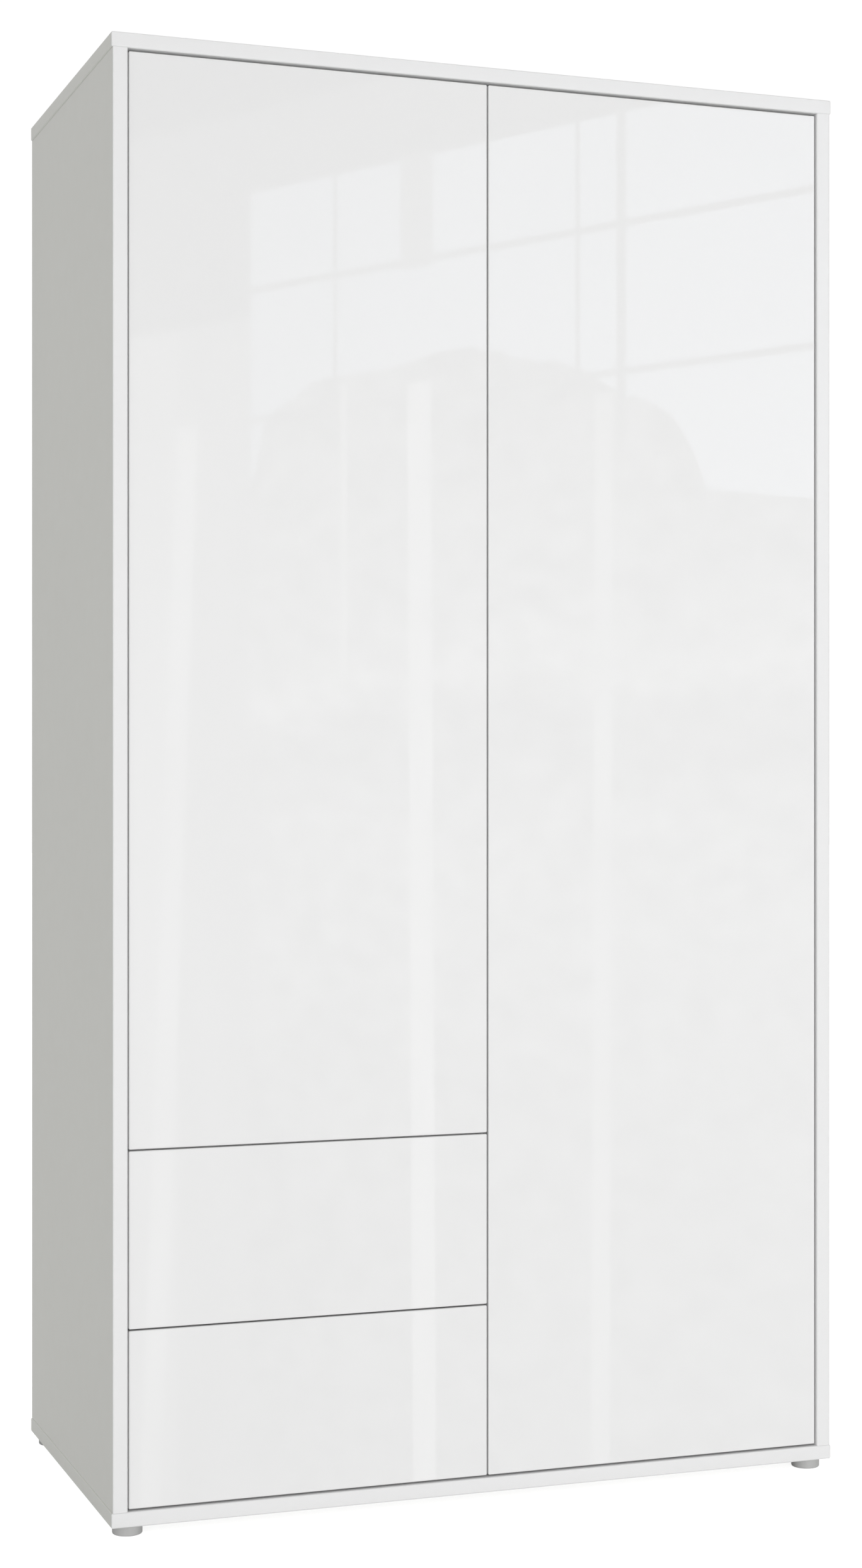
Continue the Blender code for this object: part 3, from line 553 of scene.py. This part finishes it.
shelf_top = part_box("drawer_compartment_shelf")[1].z
left_low = shelf_top + ROW_MARGIN
right_low = inside_bottom + RIGHT_ROW_MARGIN
rows_high = inside_top - ROW_MARGIN
left_holes = hole_rows(side_inner, -1.0, left_low, rows_high)
right_holes = hole_rows(-side_inner, 1.0, right_low, rows_high)
refine("left_side_panel", CARCASS, "board", bevel=CUT_END, holes=left_holes)
refine("right_side_panel", CARCASS, "board", bevel=CUT_END, holes=right_holes)
partition_holes = hole_rows(partition_left, 1.0, left_low, rows_high)
partition_holes += hole_rows(partition_right, -1.0, right_low, rows_high)
refine("centre_partition", INNER_BOARD, "board", bevel=CUT_END, holes=partition_holes)
for node in ("top_panel", "bottom_panel"):
    refine(node, CARCASS, "board")
for node in ("drawer_compartment_shelf", "hat_shelf"):
    refine(node, INNER_BOARD, "board", bevel=CUT_END)
for node in ("lower_left_shelf", "middle_left_shelf", "upper_left_shelf"):
    refine(node, SHELF_BOARD, "board")
for node in ("left_door", "right_door", "upper_drawer_front", "lower_drawer_front"):
    refine(node, FRONTS, "panel")
for node in ("upper_drawer_box", "lower_drawer_box"):
    refine(node, DRAWER_BOARD, "boards")
for node in ("left_back_panel", "right_back_panel"):
    refine(node, BACKS, "sheet", bevel=0.0002)
for drawer in ("upper_drawer", "lower_drawer"):
    node = drawer + "_bottom"
    sheet_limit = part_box(node)[0].z + SHEET_SKIN
    under = hardboard(drawer + "_hardboard", LACQUER, BARE, "Z", sheet_limit, False)
    refine(node, under, "sheet", bevel=0.0002)

# ---- Fittings that the CAD already draws ------------------------------------------------
for node in NODES:
    if node.endswith("_hinge_cup") or node.endswith("_hinge_arm"):
        refine(node, NICKEL, "pressing", bevel=0.00018)
    elif node.endswith("_hinge_link"):
        refine(node, ZINC, "pressing", bevel=0.0002)
    elif node.endswith("_runner"):
        refine(node, ZINC, "profile", bevel=0.00025)
    elif node.endswith("_foot"):
        refine(node, FOOT_PLASTIC, "moulding", bevel=0.0003)
    elif node.endswith("latch_housing"):
        refine(node, LATCH_PLASTIC, "moulding", bevel=0.0002)
    elif node.endswith("latch_plunger"):
        refine(node, PLUNGER_PLASTIC, "moulding", bevel=0.0)
for node in ("clothes_rail", "partition_rail_flange", "side_rail_flange"):
    refine(node, CHROME, "fitting", bevel=0.0003)


# ---- Small fixings ---------------------------------------------------------------------
PIN_RADIUS = 0.00245


def shelf_pins():
    profile = [
        (0.0, -0.0070), (0.0020, -0.0070), (0.0024, -0.0066), (0.0024, 0.0),
        (0.0038, 0.0), (0.0040, 0.0002), (0.0040, 0.0009), (0.0038, 0.0011),
        (PIN_RADIUS, 0.0012), (PIN_RADIUS, 0.0082), (0.0021, 0.0088), (0.0, 0.0088),
    ]
    places = []
    for node in ("lower_left_shelf", "middle_left_shelf", "upper_left_shelf", "hat_shelf"):
        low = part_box(node)[0]
        left_face = partition_right if node == "hat_shelf" else side_inner
        right_face = -side_inner if node == "hat_shelf" else partition_left
        under = low.z - PIN_RADIUS - TOUCH
        for y in (front_row, rear_row):
            places.append(facing((left_face + TOUCH, y, under), (1.0, 0.0, 0.0)))
            places.append(facing((right_face - TOUCH, y, under), (-1.0, 0.0, 0.0)))
    copies("shelf_pins", lathe(profile), places, NICKEL, "carcass")


CAP_INSET = 0.034            # from a cap's middle to the face of the board that is fixed there
CAP_ROWS = (-0.150, 0.215)
DRAWER_WALL = 0.012
DRAWER_CAP_LOW = 0.045       # above the box's lower edge
DRAWER_CAP_HIGH = 0.040      # below its upper edge


def cover_caps():
    profile = [
        (0.0, 0.0), (CAP_RADIUS * 0.97, 0.0), (CAP_RADIUS, 0.00025), (CAP_RADIUS * 0.98, 0.0006),
        (CAP_RADIUS * 0.88, 0.0009), (CAP_RADIUS * 0.3, 0.0010), (CAP_RADIUS * 0.16, 0.0008), (0.0, 0.0008),
    ]
    places = []
    for face_x, inwards in (
        (side_inner, 1.0), (partition_left, -1.0), (-side_inner, -1.0), (partition_right, 1.0),
    ):
        for z in (inside_top - CAP_INSET, inside_bottom + CAP_INSET):
            for y in CAP_ROWS:
                places.append(facing((face_x + inwards * TOUCH, y, z), (inwards, 0.0, 0.0)))
    low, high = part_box("drawer_compartment_shelf")
    for x in (low.x + CAP_INSET, high.x - CAP_INSET):
        for y in CAP_ROWS:
            places.append(facing((x, y, low.z - TOUCH), (0.0, 0.0, -1.0)))
    copies("cam_cover_caps", lathe(profile), places, CAP_PLASTIC, "carcass")
    for drawer in ("upper_drawer", "lower_drawer"):
        low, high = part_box(drawer + "_box")
        places = []
        for x, inwards in ((low.x + DRAWER_WALL, 1.0), (high.x - DRAWER_WALL, -1.0)):
            for z in (low.z + DRAWER_CAP_LOW, high.z - DRAWER_CAP_HIGH):
                place = (x + inwards * TOUCH, low.y + CAP_INSET, z)
                places.append(facing(place, (inwards, 0.0, 0.0)))
        copies(drawer + "_cover_caps", lathe(profile), places, CAP_PLASTIC, drawer)


CUP_SCREW_OFFSET = 0.0255    # from the middle of the cup, up and down
PLATE_HEIGHT = 0.0032        # of the mounting plate's face off the side panel
ARM_SCREWS = (               # (height off the side panel, behind the arm's front end, turn)
    (0.0354, 0.0135, 0.3),
    (0.0240, 0.0590, 1.1),
)


def hinge_screws():
    wall = abs(side_inner)
    cup_low, cup_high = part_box("left_door_top_hinge_cup")
    cup_middle = abs((cup_low.x + cup_high.x) / 2)
    for side, sign in (("left", -1.0), ("right", 1.0)):
        cup_places = []
        plate_places = []
        arm_places = []
        for height in hinge_z[side]:
            for offset in (-CUP_SCREW_OFFSET, CUP_SCREW_OFFSET):
                place = (sign * cup_middle, cup_high.y + TOUCH, height + offset)
                cup_places.append(facing(place, (0.0, 1.0, 0.0), 0.4 + offset * 30))
            for offset in (-HOLE_PITCH / 2, HOLE_PITCH / 2):
                place = (sign * (wall - PLATE_HEIGHT - TOUCH), front_row, height + offset)
                plate_places.append(facing(place, (-sign, 0.0, 0.0), 0.7 + offset * 20))
            for web, setback, turn in ARM_SCREWS:
                place = (sign * (wall - web - TOUCH), arm_front + setback, height)
                arm_places.append(facing(place, (-sign, 0.0, 0.0), turn))
        door = side + "_door"
        copies(door + "_cup_screws", screw_head(0.0034, 0.0014), cup_places, NICKEL, door)
        copies(door + "_plate_screws", screw_head(0.0036, 0.0016), plate_places, ZINC, "carcass")
        copies(door + "_arm_screws", screw_head(0.0031, 0.0013), arm_places, NICKEL, "carcass")


RUNNER_WEB = 0.0012              # thickness of the channel's flat side
CABINET_SCREWS = (0.037, 0.229)  # behind the cabinet runner's front end
CABINET_REAR_SCREW = 0.045       # before its rear end
MEMBER_SCREWS = (0.035, 0.215)
MEMBER_REAR_SCREW = 0.040
BALL_RADIUS = 0.0012
BALL_ROW = 0.0149                # above and below the runner's middle
BALL_DEPTH = 0.0066              # off the board that the runner is fixed to
BALL_COUNT = 8
BALL_PITCH = 0.020
FIRST_BALL = 0.025               # behind the runner's front end
CAGE_MIDDLE = 0.095
CAGE_SIZE = (0.0034, 0.170, 0.0008)


def runner_details():
    for drawer in ("upper_drawer", "lower_drawer"):
        cabinet_places = []
        member_places = []
        ball_places = []
        cage_places = []
        for side, inwards in (("left", 1.0), ("right", -1.0)):
            low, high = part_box(f"{drawer}_{side}_cabinet_runner")
            face = low.x if inwards > 0 else high.x
            middle = (low.z + high.z) / 2
            for y in (*(low.y + front for front in CABINET_SCREWS), high.y - CABINET_REAR_SCREW):
                place = (face + inwards * (RUNNER_WEB + TOUCH), y, middle)
                cabinet_places.append(facing(place, (inwards, 0.0, 0.0), y * 40))
            x = face + inwards * BALL_DEPTH
            for level in (middle - BALL_ROW, middle + BALL_ROW):
                cage_places.append(Matrix.Translation((x, low.y + CAGE_MIDDLE, level)))
                for index in range(BALL_COUNT):
                    y = low.y + FIRST_BALL + BALL_PITCH * index
                    ball_places.append(Matrix.Translation((x, y, level)))
            low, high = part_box(f"{drawer}_{side}_drawer_runner")
            web = high.x if inwards > 0 else low.x
            for y in (*(low.y + front for front in MEMBER_SCREWS), high.y - MEMBER_REAR_SCREW):
                place = (web - inwards * (RUNNER_WEB + TOUCH), y, middle)
                member_places.append(facing(place, (-inwards, 0.0, 0.0), y * 30))
        copies(drawer + "_cabinet_runner_screws", screw_head(0.0036, 0.0015), cabinet_places, ZINC, "carcass")
        copies(drawer + "_drawer_runner_screws", screw_head(0.0034, 0.0014), member_places, ZINC, drawer)
        ball = bmesh.new()
        bmesh.ops.create_icosphere(ball, subdivisions=2, radius=BALL_RADIUS)
        copies(drawer + "_runner_balls", ball, ball_places, CHROME, "carcass")
        copies(drawer + "_ball_cages", block(CAGE_SIZE, 0.0002), cage_places, ZINC, "carcass")


BUMPER_RADIUS = 0.0034
BUMPER_INSET = 0.0042        # from the front's edge at the middle of the wardrobe
BUMPER_END = 0.045           # from its top and bottom edges


def bumpers():
    profile = [
        (0.0, 0.0), (BUMPER_RADIUS, 0.0), (BUMPER_RADIUS, 0.0004),
        (0.0030, 0.0011), (0.0020, 0.0016), (0.0, 0.0018),
    ]
    for body, node in (
        ("left_door", "left_door"), ("right_door", "right_door"),
        ("upper_drawer", "upper_drawer_front"), ("lower_drawer", "lower_drawer_front"),
    ):
        low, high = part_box(node)
        x = high.x - BUMPER_INSET if abs(high.x) < abs(low.x) else low.x + BUMPER_INSET
        places = [
            facing((x, high.y + TOUCH, z), (0.0, 1.0, 0.0))
            for z in (low.z + BUMPER_END, high.z - BUMPER_END)
        ]
        copies(node + "_bumpers", lathe(profile, 20), places, RUBBER, body)


WEDGE_HALF = 0.011
WEDGE_LIP = 0.0103           # from the lip that a wedge pushes on to the wedge's middle
WEDGE_END = 0.20             # from the top and bottom panels


def back_wedges():
    """Plastic wedges behind the back panels, pushed in against the carcass's rear lips."""
    wedge = bmesh.new()
    plan = [(-0.010, 0.0), (0.010, 0.0), (0.010, 0.0035), (-0.002, 0.0075), (-0.010, 0.0075)]
    bottom = [wedge.verts.new((x, y, -WEDGE_HALF)) for x, y in plan]
    top = [wedge.verts.new((x, y, WEDGE_HALF)) for x, y in plan]
    wedge.faces.new(bottom)
    wedge.faces.new(top)
    for index in range(len(plan)):
        following = (index + 1) % len(plan)
        wedge.faces.new((bottom[index], bottom[following], top[following], top[index]))
    bmesh.ops.bevel(wedge, geom=list(wedge.edges), offset=0.0007, segments=2, profile=0.5, affect="EDGES")
    rear = backs_rear + TOUCH
    places = []
    for side in (-1.0, 1.0):
        outer = side * (abs(side_inner) - WEDGE_LIP)
        inner = side * (partition_right + WEDGE_LIP)
        for z in (inside_bottom + WEDGE_END, (inside_bottom + inside_top) / 2, inside_top - WEDGE_END):
            for x, flip in ((outer, side), (inner, -side)):
                mirror = Matrix.Rotation(0.0 if flip < 0 else math.pi, 4, "Y")
                places.append(Matrix.Translation((x, rear, z)) @ mirror)
    copies("back_panel_wedges", wedge, places, CAP_PLASTIC, "carcass")


LATCH_FRONT_SCREW = 0.012    # behind the housing's front end
LATCH_REAR_SCREW = 0.009     # before its rear end


def latch_screws():
    for side, sign in (("left", -1.0), ("right", 1.0)):
        low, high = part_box(side + "_door_latch_housing")
        face = low.x if sign < 0 else high.x
        places = [
            facing((face + sign * TOUCH, y, (low.z + high.z) / 2), (sign, 0.0, 0.0), y * 25)
            for y in (low.y + LATCH_FRONT_SCREW, high.y - LATCH_REAR_SCREW)
        ]
        copies(side + "_latch_screws", screw_head(0.0030, 0.0012), places, ZINC, "carcass")


shelf_pins()
cover_caps()
hinge_screws()
runner_details()
bumpers()
back_wedges()
latch_screws()


# ---- Stage, light and camera -------------------------------------------------------------
def emission(name, color, strength):
    material = bpy.data.materials.new(name)
    material.use_nodes = True
    tree = material.node_tree
    tree.nodes.clear()
    output = tree.nodes.new("ShaderNodeOutputMaterial")
    glow = tree.nodes.new("ShaderNodeEmission")
    glow.inputs["Color"].default_value = (*color, 1.0)
    glow.inputs["Strength"].default_value = strength
    tree.links.new(glow.outputs[0], output.inputs["Surface"])
    material.cycles.emission_sampling = "NONE"
    return material, tree, glow


def floor_material():
    """Pale diffuse floor that reads as plain white to the camera, with a faint shadow."""
    material = bpy.data.materials.new("plain_floor")
    material.use_nodes = True
    tree = material.node_tree
    shader = tree.nodes["Principled BSDF"]
    shader.inputs["Base Color"].default_value = (0.84, 0.84, 0.84, 1.0)
    shader.inputs["Roughness"].default_value = 0.9
    shader.inputs["Specular IOR Level"].default_value = 0.1
    glow = tree.nodes.new("ShaderNodeEmission")
    path = tree.nodes.new("ShaderNodeLightPath")
    strength = tree.nodes.new("ShaderNodeMath")
    strength.operation = "MULTIPLY"
    strength.inputs[1].default_value = 0.82
    tree.links.new(path.outputs["Is Camera Ray"], strength.inputs[0])
    tree.links.new(strength.outputs[0], glow.inputs["Strength"])
    both = tree.nodes.new("ShaderNodeAddShader")
    tree.links.new(shader.outputs[0], both.inputs[0])
    tree.links.new(glow.outputs[0], both.inputs[1])
    tree.links.new(both.outputs[0], tree.nodes["Material Output"].inputs["Surface"])
    material.cycles.emission_sampling = "NONE"
    return material


def stage_plane(name, corners, material):
    mesh = bpy.data.meshes.new(name)
    faces = [tuple(range(start, start + 4)) for start in range(0, len(corners), 4)]
    mesh.from_pydata(corners, [], faces)
    mesh.materials.append(material)
    plane = bpy.data.objects.new(name, mesh)
    bpy.context.scene.collection.objects.link(plane)
    return plane


FLOOR_REACH = 30.0
floor_corners = [
    (x * FLOOR_REACH, y * FLOOR_REACH, 0.0) for x, y in ((-1, -1), (1, -1), (1, 1), (-1, 1))
]
floor = stage_plane("floor", floor_corners, floor_material())
floor.visible_glossy = False

# Staged planes that only the gloss sees. They imitate a room: a window with bars and posts, the sky
# and trees outside, a wall, a ceiling and curtains. They aren't plain studio light. Their places were
# traced with another program and typed in here, and their strengths were tuned to match one picture.
WINDOW_START = Vector((1.91, -2.916, 0.0))
WINDOW_ALONG = Vector((-0.4659, -0.8848, 0.0))
WINDOW_INTO_ROOM = Vector((-0.8848, 0.4659, 0.0))


def seen_in_gloss_only(plane):
    plane.visible_camera = False
    plane.visible_diffuse = False
    plane.visible_shadow = False
    plane.visible_transmission = False


def card(name, rectangles, material, layer=0):
    """Rectangles (along from, along to, bottom, top[, lean]) in the window's wall."""
    corners = []
    offset = WINDOW_INTO_ROOM * (0.02 * layer)
    for along_low, along_high, bottom, top, *lean in rectangles:
        shift = lean[0] if lean else 0.0
        for along, height in (
            (along_low + shift, bottom), (along_high + shift, bottom), (along_high, top), (along_low, top),
        ):
            point = WINDOW_START + WINDOW_ALONG * along + offset
            corners.append((point.x, point.y, height))
    seen_in_gloss_only(stage_plane(name, corners, material))


def clouded(tree, scale, low, high, stretch=(1.0, 1.0, 1.0)):
    """A soft, uneven brightness between low and high."""
    coordinates = tree.nodes.new("ShaderNodeTexCoord")
    mapping = tree.nodes.new("ShaderNodeMapping")
    mapping.inputs["Scale"].default_value = stretch
    tree.links.new(coordinates.outputs["Object"], mapping.inputs["Vector"])
    noise = tree.nodes.new("ShaderNodeTexNoise")
    noise.inputs["Scale"].default_value = scale
    noise.inputs["Detail"].default_value = 5.0
    tree.links.new(mapping.outputs["Vector"], noise.inputs["Vector"])
    spread = tree.nodes.new("ShaderNodeMapRange")
    spread.inputs["From Min"].default_value = 0.3
    spread.inputs["From Max"].default_value = 0.7
    spread.inputs["To Min"].default_value = low
    spread.inputs["To Max"].default_value = high
    tree.links.new(noise.outputs["Fac"], spread.inputs["Value"])
    return spread.outputs["Result"]


def combined(tree, operation, first, second):
    node = tree.nodes.new("ShaderNodeMath")
    node.operation = operation
    for value, socket in ((first, node.inputs[0]), (second, node.inputs[1])):
        if isinstance(value, (int, float)):
            socket.default_value = value
        else:
            tree.links.new(value, socket)
    return node.outputs[0]


def placed_along(tree, letter):
    coordinates = tree.nodes.new("ShaderNodeTexCoord")
    split = tree.nodes.new("ShaderNodeSeparateXYZ")
    tree.links.new(coordinates.outputs["Object"], split.inputs[0])
    return split.outputs[letter]


def sky():
    """Pale sky, brighter towards the wardrobe's end of the window."""
    material, tree, glow = emission("window_sky", (0.93, 0.985, 1.06), 1.0)
    across = tree.nodes.new("ShaderNodeMapRange")
    across.inputs["From Min"].default_value = 0.95
    across.inputs["From Max"].default_value = 2.00
    across.inputs["To Min"].default_value = 1.85
    across.inputs["To Max"].default_value = 2.35
    tree.links.new(placed_along(tree, "X"), across.inputs["Value"])
    strength = combined(tree, "MULTIPLY", across.outputs["Result"], clouded(tree, 2.2, 0.97, 1.03))
    tree.links.new(strength, glow.inputs["Strength"])
    return material


def greenery():
    """Crowns over a bright path, shrubs and rough grass, far out of focus."""
    material, tree, glow = emission("window_greenery", (1.0, 1.0, 0.995), 1.0)
    wander = clouded(tree, 1.7, -0.10, 0.10)
    level = combined(tree, "ADD", placed_along(tree, "Z"), wander)
    bands = tree.nodes.new("ShaderNodeMapRange")
    bands.inputs["From Min"].default_value = -0.5
    bands.inputs["From Max"].default_value = 2.3
    tree.links.new(level, bands.inputs["Value"])
    ramp = tree.nodes.new("ShaderNodeValToRGB")
    stops = (
        (0.00, 0.50), (0.20, 0.56), (0.36, 0.68), (0.48, 0.72), (0.55, 0.55), (0.59, 0.55),
        (0.64, 0.88), (0.71, 0.66), (0.85, 0.60), (1.00, 0.56),
    )
    while len(ramp.color_ramp.elements) < len(stops):
        ramp.color_ramp.elements.new(0.5)
    for stop, (position, value) in zip(ramp.color_ramp.elements, stops):
        stop.position = position
        stop.color = (value, value, value, 1.0)
    tree.links.new(bands.outputs["Result"], ramp.inputs["Fac"])
    leaves = clouded(tree, 10.0, 0.70, 1.28, (1.0, 1.0, 1.6))
    strength = combined(tree, "MULTIPLY", ramp.outputs["Color"], leaves)
    strength = combined(tree, "MULTIPLY", strength, 1.92)
    tree.links.new(strength, glow.inputs["Strength"])
    return material


def mottled(name, low, high, scale, stretch=(1.0, 1.0, 1.0)):
    material, tree, glow = emission(name, (1.0, 1.0, 1.0), 1.0)
    tree.links.new(clouded(tree, scale, low, high, stretch), glow.inputs["Strength"])
    return material


def plain(name, strength):
    return emission(name, (1.0, 1.0, 1.0), strength)[0]


def tree_line():
    """The outline of the greenery, traced: one broad crown, then low shrubs, with leafy edges."""
    outline = (
        (2.10, 1.84), (2.06, 2.02), (1.95, 2.14), (1.76, 2.20), (1.45, 2.19), (1.20, 2.22),
        (1.00, 2.18), (0.78, 2.11), (0.62, 2.03), (0.50, 1.98), (0.42, 1.92), (0.35, 1.78),
        (0.29, 1.64), (0.21, 1.68), (0.08, 1.70), (-0.12, 1.66), (-0.40, 1.73), (-0.75, 1.70),
    )
    leafy = random.Random(7)
    points = []
    for start, end in zip(outline, outline[1:]):
        for step in range(5):
            share = step / 5
            along = start[0] + (end[0] - start[0]) * share + leafy.uniform(-0.012, 0.012)
            height = start[1] + (end[1] - start[1]) * share + leafy.uniform(-0.022, 0.022)
            points.append((along, height))
    points += [(-0.75, 1.70), (-0.75, -2.2), (2.10, -2.2)]
    corners = []
    for along, height in points:
        point = WINDOW_START + WINDOW_ALONG * along + WINDOW_INTO_ROOM * 0.01
        corners.append((point.x, point.y, height))
    shape = bmesh.new()
    shape.faces.new([shape.verts.new(corner) for corner in corners])
    bmesh.ops.triangulate(shape, faces=shape.faces)
    mesh = bpy.data.meshes.new("window_greenery")
    shape.to_mesh(mesh)
    shape.free()
    mesh.materials.append(greenery())
    plane = bpy.data.objects.new("window_greenery", mesh)
    bpy.context.scene.collection.objects.link(plane)
    seen_in_gloss_only(plane)


card("window_sky", [(-0.75, 2.10, 1.4, 2.805)], sky())
tree_line()
card("window_wall", [
    (2.10, 6.0, 2.42, 3.06), (-0.75, 2.10, 2.805, 3.06), (-3.0, -0.75, -2.2, 3.06),
], plain("window_wall", 0.76))
card("window_ceiling", [(-4.0, 7.0, 3.06, 6.0)], plain("window_ceiling", 0.42))
card("window_reveal", [(2.10, 2.44, -2.2, 2.42)], mottled("window_reveal", 1.02, 1.30, 3.0, (1.0, 1.0, 0.3)))
card("window_drape", [(2.44, 6.0, -2.2, 2.42)], mottled("window_drape", 1.30, 1.60, 4.0, (1.0, 1.0, 0.2)))
card("window_bars", [
    (-0.75, 2.10, 2.487, 2.508), (-0.75, 2.10, 2.085, 2.105), (1.700, 1.718, 2.10, 2.805),
    (0.762, 0.780, 2.10, 2.805), (0.600, 0.634, 1.90, 2.805), (-0.14, -0.11, 2.10, 2.805),
], plain("window_bars", 0.95), 1)
card("window_wide_post", [(1.290, 1.420, 2.470, 2.805)], plain("window_wide_post", 1.10), 2)
card("window_bright_posts", [
    (1.300, 1.392, -2.2, 2.140, -0.03),
], mottled("window_bright_post", 1.85, 2.30, 6.0, (1.0, 1.0, 0.6)), 2)
card("window_pale_posts", [
    (0.628, 0.694, -2.2, 2.04, 0.02), (1.640, 1.668, 1.30, 2.16),
], mottled("window_pale_post", 1.55, 1.90, 6.0, (1.0, 1.0, 0.6)), 2)
card("window_curtain", [
    (2.300, 2.400, -2.2, 2.10, 0.22),
], mottled("window_curtain", 1.75, 2.10, 5.0, (1.0, 1.0, 0.5)), 2)

world = bpy.data.worlds.new("studio")
bpy.context.scene.world = world
world.use_nodes = True
world_tree = world.node_tree
background = world_tree.nodes["Background"]
ray = world_tree.nodes.new("ShaderNodeLightPath")
WORLD_LIGHT = 0.595
SEEN_WORLD = 1.02        # what the camera itself sees
CORNER_LIGHT = 2.0       # the front left and rear right are brighter, the other two corners darker
direction = world_tree.nodes.new("ShaderNodeTexCoord").outputs["Generated"]
axes = world_tree.nodes.new("ShaderNodeSeparateXYZ")
world_tree.links.new(direction, axes.inputs[0])
corner = combined(world_tree, "MULTIPLY", axes.outputs["X"], axes.outputs["Y"])
corner = combined(world_tree, "MULTIPLY", corner, CORNER_LIGHT)
matt_ray = combined(world_tree, "SUBTRACT", 1.0, ray.outputs["Is Glossy Ray"])
corner = combined(world_tree, "ADD", combined(world_tree, "MULTIPLY", corner, matt_ray), 1.0)
world_strength = world_tree.nodes.new("ShaderNodeMapRange")
world_tree.links.new(combined(world_tree, "MULTIPLY", corner, WORLD_LIGHT), world_strength.inputs["To Min"])
world_strength.inputs["To Max"].default_value = SEEN_WORLD
world_tree.links.new(ray.outputs["Is Camera Ray"], world_strength.inputs["Value"])
background.inputs["Color"].default_value = (1.0, 1.0, 1.0, 1.0)
world_tree.links.new(world_strength.outputs["Result"], background.inputs["Strength"])


def area_light(name, place, target, size, power):
    data = bpy.data.lights.new(name, "AREA")
    data.shape = "RECTANGLE"
    data.size, data.size_y = size
    data.energy = power
    light = bpy.data.objects.new(name, data)
    bpy.context.scene.collection.objects.link(light)
    light.location = place
    light.rotation_euler = (Vector(target) - Vector(place)).to_track_quat("-Z", "Y").to_euler()
    light.visible_glossy = False
    light.visible_camera = False


area_light("window_light", (1.0, -6.5, 0.6), (0.0, 0.0, 0.8), (3.0, 1.2), 107.0)
area_light("low_light", (-0.45, -5.0, 0.3), (0.0, 0.0, 0.6), (0.6, 0.6), 23.5)

camera_data = bpy.data.cameras.new("camera")
camera_data.sensor_fit = "AUTO"
camera_data.sensor_width = 36.0
camera_data.lens = 60.17
camera_data.shift_y = -0.00503
camera = bpy.data.objects.new("camera", camera_data)
bpy.context.scene.collection.objects.link(camera)
camera.location = (-1.282, -3.6226, 0.994)
camera.rotation_euler = (math.radians(90.0), 0.0, math.radians(-19.673))
bpy.context.scene.camera = camera
bpy.context.scene.view_settings.view_transform = "Standard"
